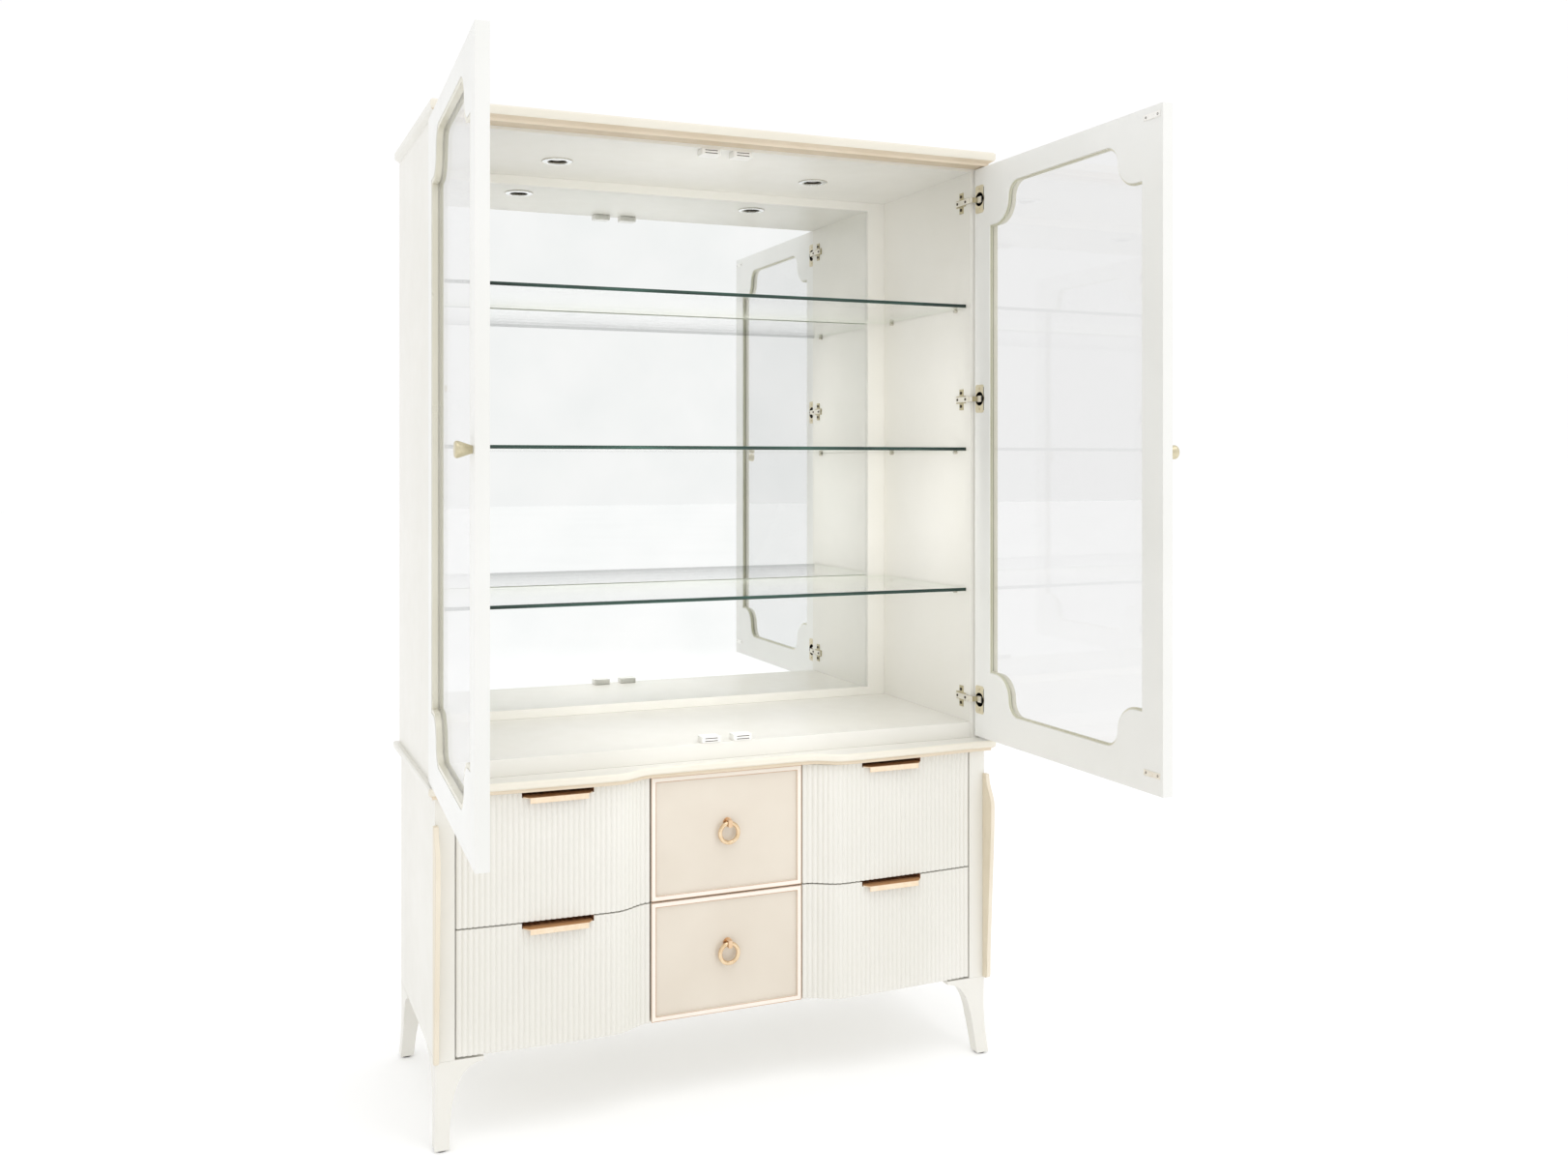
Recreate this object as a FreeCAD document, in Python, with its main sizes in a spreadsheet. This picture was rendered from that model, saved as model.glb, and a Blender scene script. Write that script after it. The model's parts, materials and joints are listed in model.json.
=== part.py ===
import FreeCAD, Part
import math
import os
import re
import Sketcher

# Curio cabinet: a chest of six drawers on sabre legs that carries a glazed hutch with two doors.
# Millimetres. +Z is up, -Y is the front and +X is the right of someone facing the cabinet. The origin is
# on the floor, under the middle of the overall size with both doors standing open.
# Every piece is modelled with the drawers shut and the doors open, which is the zero of every joint.

sizes = {
    # case and hutch
    "case_front": 75,
    "case_depth": 470,
    "base_width": 1300,
    "hutch_overlap": 4,
    "hutch_setback": 24,
    "total_height": 2134,
    "leg_height": 178,
    "waist_top": 743,
    "waist_thick": 25,
    "waist_overhang": 17,
    "waist_front": 25,
    "back_overhang": 10,
    "cornice_thick": 32,
    "cornice_overhang": 10,
    "cornice_front": 52,
    "side_thick": 27,
    "floor_thick": 37,
    "ceiling_thick": 18,
    "ceiling_drop": 7,
    "back_thick": 6,
    "carcass_thick": 18,
    "base_stile": 40.5,
    "carcass_setback": 44,
    # mirror, shelves and lights
    "mirror_thick": 5,
    "mirror_stile": 50,
    "mirror_rail": 22,
    "mirror_lap": 8,
    "mirror_frame_thick": 15,
    "shelf_thick": 8,
    "shelf_setback": 16,
    "shelf_gap": 2,
    "shelf_rise": 312,
    "shelf_mid_drop": 3,
    "shelf_drop": 323,
    "pin_diameter": 5,
    "pin_head": 8,
    "pin_depth": 8,
    "pin_reach": 9,
    "pin_inset": 45,
    "puck_spread": 325,
    "puck_back": 240,
    "puck_ring": 72,
    "puck_body": 57,
    "puck_lens": 43,
    "puck_depth": 11,
    "puck_flange": 2,
    # doors
    "door_thick": 24,
    "door_standoff": 3.5,
    "door_low_gap": 5,
    "door_high_gap": 2,
    "door_mid_gap": 3,
    "door_inset": 0.5,
    "door_stile": 52,
    "door_top_rail": 45,
    "door_low_rail": 61,
    "corner_ledge": 30,
    "corner_round": 44,
    "rebate_lap": 9,
    "rebate_depth": 16,
    "glass_thick": 4,
    "bead_thick": 11,
    "glazing_gap": 0.3,
    "left_open": 93,
    "right_open": 91,
    "hinge_from_low": 89,
    "hinge_mid_raise": 128,
    "hinge_from_top": 74,
    "pin_edge": 8,
    "pin_into": 9,
    "hinge_pin": 3,
    "cup_diameter": 35,
    "cup_edge": 4,
    "cup_depth": 13,
    "cup_wall": 1,
    "flange_tall": 66,
    "flange_thick": 1.2,
    "arm_thick": 2.4,
    "arm_tall": 12,
    "arm_play": 1.3,
    "eye_wall": 1.2,
    "plate_front": 20,
    "plate_back": 60,
    "plate_tall": 18,
    "plate_thick": 2,
    "wing_front": 30,
    "wing_back": 46,
    "wing_tall": 50,
    "lug_spread": 8.5,
    "lug_thick": 2.4,
    "lug_wide": 6,
    "knob_raise": -4,
    "knob_edge": 26,
    "knob_long": 29,
    "knob_wide": 28,
    "knob_foot": 14,
    "strike_long": 48,
    "strike_tall": 12,
    "strike_thick": 1.2,
    "strike_edge": 31,
    "strike_from_top": 20,
    "strike_from_low": 40,
    "catch_spread": 38,
    "catch_wide": 46,
    "catch_tall": 14,
    "catch_deep": 32,
    "catch_gap": 0.5,
    "catch_round": 6,
    # drawers
    "drawer_low_gap": 5,
    "drawer_split_drop": 5,
    "drawer_high_gap": 4,
    "drawer_gap": 3,
    "drawer_reveal": 2,
    "centre_half": 181,
    "bow_depth": 13,
    "bow_place": 272,
    "centre_setback": 19,
    "front_back": 42,
    "reed_count": 37,
    "reed_depth": 2.5,
    "trim_width": 11,
    "trim_raise": 4,
    "box_lift": 25,
    "box_tall": 170,
    "box_room": 22,
    "box_wall": 12,
    "box_floor": 6,
    "runner_space": 13,
    "runner_steel": 6,
    "runner_tall": 34,
    "runner_lift": 55,
    # pulls
    "pull_back": 150,
    "pull_front": 126,
    "pull_reach": 14,
    "pull_lip": 12,
    "pull_metal": 2,
    "pull_notch": 10,
    "pull_tail": 14,
    "ring_wide": 52,
    "ring_thick": 9,
    "ring_standoff": 2.5,
    "post_wide": 17,
    "post_slim": 9,
    "rose_thick": 2,
    "ring_play": 1,
    "ring_raise": 22,
    # corner fins, legs and glides
    "fin_thick": 10,
    "fin_proud": 5,
    "fin_from_top": 56,
    "fin_shoulder": 76,
    "fin_peak_deep": 38,
    "fin_top_deep": 15,
    "fin_low_deep": 20,
    "leg_toe": 30,
    "leg_reach": 100,
    "leg_lip": 8,
    "leg_web": 34,
    "toe_front": 13,
    "toe_back": 15,
    "toe_side": 3,
    "glide_wide": 24,
    "glide_thick": 4,
}

doc = FreeCAD.newDocument("curio_cabinet")
sheet = doc.addObject("Spreadsheet::Sheet", "Sizes")
for row, (alias, value) in enumerate(sizes.items(), start=1):
    sheet.set("A%d" % row, alias)
    sheet.set("B%d" % row, str(value))
    sheet.setAlias("B%d" % row, alias)
doc.recompute()

# Places that several pieces share, in terms of the driving sizes and of the places above them.
shared = {
    "base_half": "(base_width / 2)",
    "hutch_half": "(base_half + hutch_overlap)",
    "inner_half": "(hutch_half - side_thick)",
    "zone_half": "(base_half - base_stile)",
    "case_back": "(case_front + case_depth)",
    "carcass_face": "(case_front + carcass_setback)",
    "back_face": "(case_back - back_thick)",
    "hutch_face": "(case_front + hutch_setback)",
    "waist_under": "(waist_top - waist_thick)",
    "floor_top": "(waist_top + floor_thick)",
    "cornice_under": "(total_height - cornice_thick)",
    "ceiling_under": "(cornice_under - ceiling_drop)",
    "mirror_face": "(back_face - mirror_frame_thick)",
    "shelf_low": "(floor_top + shelf_rise)",
    "shelf_high": "(ceiling_under - shelf_drop)",
    "shelf_mid": "((shelf_low + shelf_high) / 2 - shelf_mid_drop)",
    "door_low": "(waist_top + door_low_gap)",
    "door_high": "(cornice_under - door_high_gap)",
    "door_middle": "((door_low + door_high) / 2)",
    "door_wide": "(hutch_half - door_inset - door_mid_gap / 2)",
    "hinge_low": "(door_low + hinge_from_low)",
    "hinge_mid": "(door_middle + hinge_mid_raise)",
    "hinge_high": "(door_high - hinge_from_top)",
    "knob_height": "(door_middle + knob_raise)",
    "drawer_low": "(leg_height + drawer_low_gap)",
    "drawer_high": "(waist_under - drawer_high_gap)",
    "drawer_split": "((drawer_low + drawer_high) / 2 - drawer_split_drop)",
    "box_deep": "(case_depth - front_back - back_thick - box_room)",
    "post_bore": "(ring_thick + 2 * ring_play)",
    "fin_top": "(waist_under - fin_from_top)",
    "fin_peak": "(fin_top - fin_shoulder)",
}


def bound(text):
    """The expression with shared places written out and every size read from the sheet."""
    for name, meaning in reversed(shared.items()):
        text = re.sub(r"\b%s\b" % name, meaning, text)
    return re.sub(r"[a-z]\w*", lambda word: "Sizes." + word.group(0), text)


def number(text):
    return float(sheet.evalExpression(bound(text)))


def box(name, x, y, z):
    """A box from pairs of expressions for its low and high side along X, Y and Z."""
    piece = doc.addObject("Part::Box", name)
    for length, axis, (low, high) in zip(("Length", "Width", "Height"), "xyz", (x, y, z)):
        piece.setExpression(length, bound("(%s) - (%s)" % (high, low)))
        piece.setExpression("Placement.Base." + axis, bound(low))
    return piece


def cylinder(name, radius, height, place, turn=FreeCAD.Rotation()):
    """A cylinder whose foot is at the place given by three expressions, along its turned Z."""
    piece = doc.addObject("Part::Cylinder", name)
    piece.Placement.Rotation = turn
    piece.setExpression("Radius", bound(radius))
    piece.setExpression("Height", bound(height))
    for axis, where in zip("xyz", place):
        piece.setExpression("Placement.Base." + axis, bound(where))
    return piece


def cut(name, base, tools):
    piece = doc.addObject("Part::Cut", name)
    piece.Base = base
    piece.Tool = tools[0] if len(tools) == 1 else group(name + "_tools", tools)
    return piece


def group(name, pieces):
    piece = doc.addObject("Part::Compound", name)
    piece.Links = pieces
    return piece


def shaped(name, shape):
    piece = doc.addObject("Part::Feature", name)
    piece.Shape = shape
    return piece


nodes = {}


def node(label, piece):
    piece.Label = label
    nodes[label] = piece
    return piece


def outline(sketch, corners):
    """A closed outline. A corner is (across, up), or (across, up, radius, turn) where an arc follows it."""
    spots = [FreeCAD.Vector(number(corner[0]), number(corner[1]), 0) for corner in corners]
    base = sketch.GeometryCount
    ends = []
    for index, corner in enumerate(corners):
        start = spots[index]
        stop = spots[(index + 1) % len(corners)]
        if len(corner) == 2:
            sketch.addGeometry(Part.LineSegment(start, stop), False)
            ends.append((base + index, 1, 2))
            continue
        radius = number(corner[2])
        half = (stop - start) * 0.5
        left = FreeCAD.Vector(-half.y, half.x, 0).normalize()
        rise = math.sqrt(max(radius ** 2 - half.Length ** 2, 0))
        circle = Part.Circle(start + half + left * rise * corner[3], FreeCAD.Vector(0, 0, 1), radius)
        first, last = (start, stop) if corner[3] > 0 else (stop, start)
        arc = Part.ArcOfCircle(circle, circle.parameter(first), circle.parameter(last))
        sketch.addGeometry(arc, False)
        ends.append((base + index, 1, 2) if corner[3] > 0 else (base + index, 2, 1))
    for index, corner in enumerate(corners):
        edge, start, stop = ends[index]
        before, before_start, before_stop = ends[index - 1]
        sketch.addConstraint(Sketcher.Constraint("Coincident", before, before_stop, edge, start))
        for kind, text in (("DistanceX", corner[0]), ("DistanceY", corner[1])):
            rule = sketch.addConstraint(Sketcher.Constraint(kind, -1, 1, edge, start, number(text)))
            sketch.setExpression("Constraints[%d]" % rule, bound(text))
        if len(corner) > 2:
            rule = sketch.addConstraint(Sketcher.Constraint("Radius", edge, number(corner[2])))
            sketch.setExpression("Constraints[%d]" % rule, bound(corner[2]))


def sketch_on(body, name, role, outlines):
    sketch = body.newObject("Sketcher::SketchObject", name)
    plane = next(item for item in body.Origin.OriginFeatures if item.Role == role)
    sketch.AttachmentSupport = [(plane, "")]
    sketch.MapMode = "FlatFace"
    for corners in outlines:
        outline(sketch, corners)
    return sketch


def pad(body, name, outlines, length, role="XZ_Plane"):
    """A pad from the sketch plane: towards +Y from XZ, upwards from XY."""
    feature = body.newObject("PartDesign::Pad", name)
    feature.Profile = sketch_on(body, name + "_sketch", role, outlines)
    feature.setExpression("Length", bound(length))
    feature.Reversed = role == "XZ_Plane"
    return feature


def pocket(body, name, outlines, length):
    """A pocket from the XZ plane into the solid behind it; the volume must fall."""
    doc.recompute()
    before = body.Shape.Volume
    feature = body.newObject("PartDesign::Pocket", name)
    feature.Profile = sketch_on(body, name + "_sketch", "XZ_Plane", outlines)
    feature.setExpression("Length", bound(length))
    doc.recompute()
    if body.Shape.Volume > before - 1:
        raise RuntimeError(name + " cut nothing")
    return feature


def turned(name, corners):
    """A body turned about its own Y axis from a half section of (radius, height) corners."""
    body = doc.addObject("PartDesign::Body", name)
    sketch = sketch_on(body, name + "_section", "XY_Plane", [corners])
    feature = body.newObject("PartDesign::Revolution", name + "_turn")
    feature.Profile = sketch
    feature.ReferenceAxis = (sketch, ["V_Axis"])
    feature.Angle = 360
    return body


def rectangle(left, low, right, high):
    return [(left, low), (right, low), (right, high), (left, high)]


upright = FreeCAD.Rotation(FreeCAD.Vector(1, 0, 0), 90)
across = FreeCAD.Rotation(FreeCAD.Vector(0, 1, 0), 90)
sides = (("left", -1), ("right", 1))


def signed(side, text):
    return text if side > 0 else "-(%s)" % text


def span(side, near, far):
    """The low and high X of a stretch that lies between two distances from the middle."""
    return (near, far) if side > 0 else ("-(%s)" % far, "-(%s)" % near)


# Plan of the case front: a shallow bow on each side drawer that turns back to the middle drawers.

def bow_edges(side, start_x, shift):
    """The two curves of one side's front, from its outer end to the middle drawers, moved forward."""
    front = number("case_front") - shift
    peak_x = number("bow_place")
    peak_y = front - number("bow_depth")
    end_x = number("centre_half + drawer_gap / 2")
    end_y = front + number("centre_setback")
    third = (start_x - peak_x) / 3
    outer = [(start_x, front), (start_x - third, peak_y + number("bow_depth") * 0.4),
             (peak_x + third, peak_y), (peak_x, peak_y)]
    reach = (peak_x - end_x) * 0.4
    inner = [(peak_x, peak_y), (peak_x - reach, peak_y), (end_x + reach, end_y), (end_x, end_y)]
    edges = []
    for poles in (outer, inner):
        curve = Part.BezierCurve()
        curve.setPoles([FreeCAD.Vector(side * x, y, 0) for x, y in poles])
        edges.append(curve.toShape())
    return edges


def front_height(distance):
    """The Y of the fluted front at a distance from the middle, on its outer curve."""
    start_x = number("zone_half - drawer_reveal")
    edge = bow_edges(1, start_x, 0)[0]
    return edge.valueAt((start_x - distance) / (start_x - number("bow_place"))).y


def moulded_plan(half, front, back, inset, bowed):
    """The plan of a moulding, with its front and ends moved in by inset."""
    corner = half - inset
    if not bowed:
        spots = [(-corner, front + inset), (corner, front + inset), (corner, back), (-corner, back)]
        return Part.makePolygon([FreeCAD.Vector(x, y, 0) for x, y in spots + spots[:1]])
    shift = number("case_front") - front - inset
    start_x = number("zone_half - drawer_reveal")
    right = bow_edges(1, start_x, shift)
    left = bow_edges(-1, start_x, shift)
    inner_right = right[1].lastVertex().Point
    inner_left = left[1].lastVertex().Point
    line_spots = [
        (FreeCAD.Vector(start_x, front + inset, 0), FreeCAD.Vector(corner, front + inset, 0)),
        (FreeCAD.Vector(corner, front + inset, 0), FreeCAD.Vector(corner, back, 0)),
        (FreeCAD.Vector(corner, back, 0), FreeCAD.Vector(-corner, back, 0)),
        (FreeCAD.Vector(-corner, back, 0), FreeCAD.Vector(-corner, front + inset, 0)),
        (FreeCAD.Vector(-corner, front + inset, 0), FreeCAD.Vector(-start_x, front + inset, 0)),
        (inner_left, inner_right),
    ]
    lines = [Part.LineSegment(start, stop).toShape() for start, stop in line_spots]
    return Part.Wire(Part.__sortEdges__(lines + right + left))


def moulding(half, front, back, low, layers, bowed):
    """A moulded slab: its plan at each (height, inset) of the section, joined into one solid."""
    plans = []
    for height, inset in layers:
        plan = moulded_plan(half, front, back, inset, bowed)
        plan.translate(FreeCAD.Vector(0, 0, low + height))
        plans.append(plan)
    return Part.makeLoft(plans, True, True)


# Cornice: a moulded slab with a recess below that takes the ceiling panel.
cornice_layers = [(0, 12), (6, 12), (12, 2), (16, 0), (number("cornice_thick") - 4, 0),
                  (number("cornice_thick"), 4)]
cornice = moulding(number("hutch_half + cornice_overhang"), number("hutch_face - cornice_front"),
                   number("case_back + back_overhang"), number("cornice_under"), cornice_layers, False)
cornice_slab = shaped("cornice_slab", cornice)
ceiling_recess = box("ceiling_recess", ("-inner_half", "inner_half"), ("hutch_face", "case_back"),
                     ("cornice_under - 1", "ceiling_under + ceiling_thick"))
node("cornice_moulding", cut("cornice_moulding", cornice_slab, [ceiling_recess]))

# Waist moulding: the top of the chest, its front edge following the drawers.
waist_layers = [(0, 8), (5, 8), (9, 2), (12, 0), (number("waist_thick") - 3, 0), (number("waist_thick"), 3)]
waist = moulding(number("base_half + waist_overhang"), number("case_front - waist_front"),
                 number("case_back + back_overhang"), number("waist_under"), waist_layers, True)
node("waist_moulding", shaped("waist_moulding", waist))

# Hutch: two sides, floor, ceiling and back.
shelf_levels = ("low", "mid", "high")
pin_rows = ("hutch_face + shelf_setback + pin_inset", "mirror_face - shelf_gap - pin_inset")
for side_name, side in sides:
    panel = box("hutch_%s_board" % side_name, span(side, "inner_half", "hutch_half"),
                ("hutch_face", "case_back"), ("waist_top", "cornice_under"))
    holes = []
    for level in shelf_levels:
        for row, y in enumerate(pin_rows):
            foot = "inner_half - 1" if side > 0 else "-inner_half - pin_depth - 1"
            place = (foot, y, "shelf_%s - pin_head / 2" % level)
            holes.append(cylinder("pin_hole_%s_%s_%d" % (side_name, level, row), "pin_diameter / 2",
                                  "pin_depth + 2", place, across))
    node("hutch_%s_side" % side_name, cut("hutch_%s_side" % side_name, panel, holes))

node("hutch_bottom_panel", box("hutch_bottom_panel", ("-inner_half", "inner_half"),
                               ("hutch_face", "back_face"), ("waist_top", "floor_top")))
ceiling = box("ceiling_board", ("-inner_half", "inner_half"), ("hutch_face", "back_face"),
              ("ceiling_under", "ceiling_under + ceiling_thick"))
puck_places = [(signed(side, "puck_spread"), "hutch_face + puck_back", "ceiling_under")
               for _, side in sides]
puck_pockets = [cylinder("puck_pocket_%d" % index, "puck_body / 2 + glazing_gap", "puck_depth + glazing_gap",
                         place) for index, place in enumerate(puck_places)]
node("hutch_top_panel", cut("hutch_top_panel", ceiling, puck_pockets))
node("hutch_back_panel", box("hutch_back_panel", ("-inner_half", "inner_half"),
                             ("back_face", "case_back"), ("waist_top", "ceiling_under + ceiling_thick")))

# Mirror in its frame, against the back panel.
frame_board = box("mirror_frame_board", ("-inner_half", "inner_half"), ("mirror_face", "back_face"),
                  ("floor_top", "ceiling_under"))
mirror_window = box("mirror_window", ("mirror_stile - inner_half", "inner_half - mirror_stile"),
                    ("mirror_face - 1", "back_face + 1"),
                    ("floor_top + mirror_rail", "ceiling_under - mirror_rail"))
glass_span = ("mirror_stile - inner_half - mirror_lap", "inner_half - mirror_stile + mirror_lap")
glass_rise = ("floor_top + mirror_rail - mirror_lap", "ceiling_under - mirror_rail + mirror_lap")
mirror_rebate = box("mirror_rebate", glass_span, ("back_face - mirror_thick", "back_face + 1"), glass_rise)
node("mirror_frame", cut("mirror_frame", frame_board, [mirror_window, mirror_rebate]))
node("back_mirror", box("back_mirror", glass_span, ("back_face - mirror_thick", "back_face"), glass_rise))

# Glass shelves on metal pins.
for label, level in zip(("lower", "middle", "upper"), shelf_levels):
    shelf = box("glass_shelf_" + label, ("shelf_gap - inner_half", "inner_half - shelf_gap"),
                ("hutch_face + shelf_setback", "mirror_face - shelf_gap"),
                ("shelf_" + level, "shelf_%s + shelf_thick" % level))
    node("glass_shelf_" + label, shelf)
shelf_pins = []
for side_name, side in sides:
    for level in shelf_levels:
        for row, y in enumerate(pin_rows):
            tag = "%s_%s_%d" % (side_name, level, row)
            height = "shelf_%s - pin_head / 2" % level
            shank_foot = "inner_half - 1" if side > 0 else "-inner_half - pin_depth"
            head_foot = "inner_half - pin_reach" if side > 0 else "-inner_half"
            shank = cylinder("pin_shank_" + tag, "pin_diameter / 2", "pin_depth + 1",
                             (shank_foot, y, height), across)
            head = cylinder("pin_head_" + tag, "pin_head / 2", "pin_reach",
                            (head_foot, y, height), across)
            joined = doc.addObject("Part::Fuse", "pin_" + tag)
            joined.Base = shank
            joined.Tool = head
            shelf_pins.append(joined)
node("shelf_pins", group("shelf_pins", shelf_pins))

# Puck lights let into the ceiling.
housings = []
for index, place in enumerate(puck_places):
    housing = turned("puck_housing_%d" % index, [
        ("0", "puck_depth - 1.5"), ("puck_lens / 2", "puck_depth - 1.5"), ("puck_lens / 2", "-puck_flange"),
        ("puck_ring / 2", "-puck_flange"), ("puck_ring / 2", "0"), ("puck_body / 2", "0"),
        ("puck_body / 2", "puck_depth"), ("0", "puck_depth")])
    housing.Placement = FreeCAD.Placement(FreeCAD.Vector(*[number(text) for text in place]), upright)
    housings.append(housing)
node("puck_light_housings", group("puck_light_housings", housings))
node("puck_light_lenses", group("puck_light_lenses", [
    cylinder("puck_lens_%d" % index, "puck_lens / 2", "3", (place[0], place[1], "ceiling_under - 0.5"))
    for index, place in enumerate(puck_places)]))

# Magnetic catches, one above and one below the meeting edge of each door.
catches = []
catch_round = number("catch_round")
for side_name, side in sides:
    for level, low in (("top", "ceiling_under - catch_tall"), ("floor", "floor_top")):
        middle = signed(side, "catch_spread")
        face = "hutch_face - door_standoff + strike_thick + catch_gap"
        block = box("catch_block_%s_%s" % (side_name, level),
                    (middle + " - catch_wide / 2", middle + " + catch_wide / 2"),
                    (face, face + " + catch_deep"), (low, low + " + catch_tall"))
        doc.recompute()
        rounded = doc.addObject("Part::Fillet", "catch_%s_%s" % (side_name, level))
        rounded.Base = block
        edges = [index for index, edge in enumerate(block.Shape.Edges, start=1)
                 if abs(edge.tangentAt(edge.FirstParameter).z) > 0.9]
        rounded.Edges = [(index, catch_round, catch_round) for index in edges]
        catches.append(rounded)
node("magnetic_catches", group("magnetic_catches", catches))


# Doors. A piece is placed by its distance from the hinge edge, its depth in from the inner face
# and its height.

open_angles = {-1: number("left_open"), 1: number("right_open")}


def on_door(side, along, depth, height, turn=FreeCAD.Rotation()):
    pin = FreeCAD.Vector(side * number("hutch_half - door_inset - pin_edge"),
                         number("hutch_face - door_standoff - pin_into"), 0)
    shut = FreeCAD.Vector(side * (number("hutch_half - door_inset") - number(along)),
                          number("hutch_face - door_standoff") - number(depth), number(height))
    swing = FreeCAD.Rotation(FreeCAD.Vector(0, 0, 1), side * open_angles[side])
    return FreeCAD.Placement(pin + swing.multVec(shut - pin), swing.multiply(turn))


def ogee_window(inset):
    """The door's glazed opening, moved in by inset: a square-shouldered ogee at each corner."""
    left, right = "(door_stile - door_wide / 2 + %s)" % inset, "(door_wide / 2 - door_stile - %s)" % inset
    low, high = "(door_low_rail + %s)" % inset, "(door_high - door_low - door_top_rail - %s)" % inset
    outer_r, inner_r = "corner_round + " + inset, "corner_round - " + inset
    ledge, drop = "corner_ledge - " + inset, "corner_round * 2"
    level = "corner_round + corner_ledge"
    far = "corner_round * 2 + corner_ledge - " + inset
    mid = "corner_round - " + inset
    return [
        (left + " + " + far, low),
        (right + " - (" + far + ")", low, inner_r, 1),
        (right + " - (" + level + ")", low + " + " + mid, outer_r, -1),
        (right + " - (" + ledge + ")", low + " + " + drop),
        (right, low + " + " + drop),
        (right, high + " - " + drop),
        (right + " - (" + ledge + ")", high + " - " + drop, outer_r, -1),
        (right + " - (" + level + ")", high + " - (" + mid + ")", inner_r, 1),
        (right + " - (" + far + ")", high),
        (left + " + " + far, high, inner_r, 1),
        (left + " + " + level, high + " - (" + mid + ")", outer_r, -1),
        (left + " + " + ledge, high + " - " + drop),
        (left, high + " - " + drop),
        (left, low + " + " + drop),
        (left + " + " + ledge, low + " + " + drop, outer_r, -1),
        (left + " + " + level, low + " + " + mid, inner_r, 1),
    ]


pin_play = 0.05


def hinge_cup():
    """A pressed cup with its flange: open towards +Y, hinge pin bearings near its -X side."""
    radius, wall, depth = number("cup_diameter / 2"), number("cup_wall"), number("cup_depth")
    upward = FreeCAD.Vector(0, 1, 0)
    flange_thick = number("flange_thick")
    shell = Part.makeCylinder(radius, depth, FreeCAD.Vector(0, -depth, 0), upward)
    flange = Part.makeBox(number("cup_diameter") - 2, flange_thick, number("flange_tall"),
                          FreeCAD.Vector(1 - radius, 0, -number("flange_tall") / 2))
    flange = flange.makeFillet(6, [edge for edge in flange.Edges if abs(edge.tangentAt(0).y) > 0.9])
    hollow = Part.makeCylinder(radius - wall, depth - wall + flange_thick + 1,
                               FreeCAD.Vector(0, wall - depth, 0), upward)
    pin_x = number("pin_edge - cup_edge") - radius
    room = number("arm_tall / 2 + 0.6")
    relief = Part.makeBox(radius + 1, depth - wall + flange_thick + 1, 2 * room,
                          FreeCAD.Vector(-radius - 1, wall - depth, -room))
    lug_spread, lug_thick, lug_wide = number("lug_spread"), number("lug_thick"), number("lug_wide")
    lug_top = number("pin_into - hinge_pin / 2 - 2.5")
    lugs = []
    for way in (-1, 1):
        corner = FreeCAD.Vector(pin_x - lug_wide / 2, -depth, way * lug_spread - lug_thick / 2)
        lug = Part.makeBox(lug_wide, depth - lug_top, lug_thick, corner)
        inside = Part.makeCylinder(radius - wall / 2, depth, FreeCAD.Vector(0, -depth, 0), upward)
        lugs.append(lug.common(inside))
    cup = shell.fuse(flange).cut([hollow, relief]).fuse(lugs)
    bore_half = lug_spread + pin_play * 4
    bore = Part.makeCylinder(number("hinge_pin / 2") + pin_play, 2 * bore_half,
                             FreeCAD.Vector(pin_x, -number("pin_into"), -bore_half), FreeCAD.Vector(0, 0, 1))
    return cup.cut(bore).removeSplitter()


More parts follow.
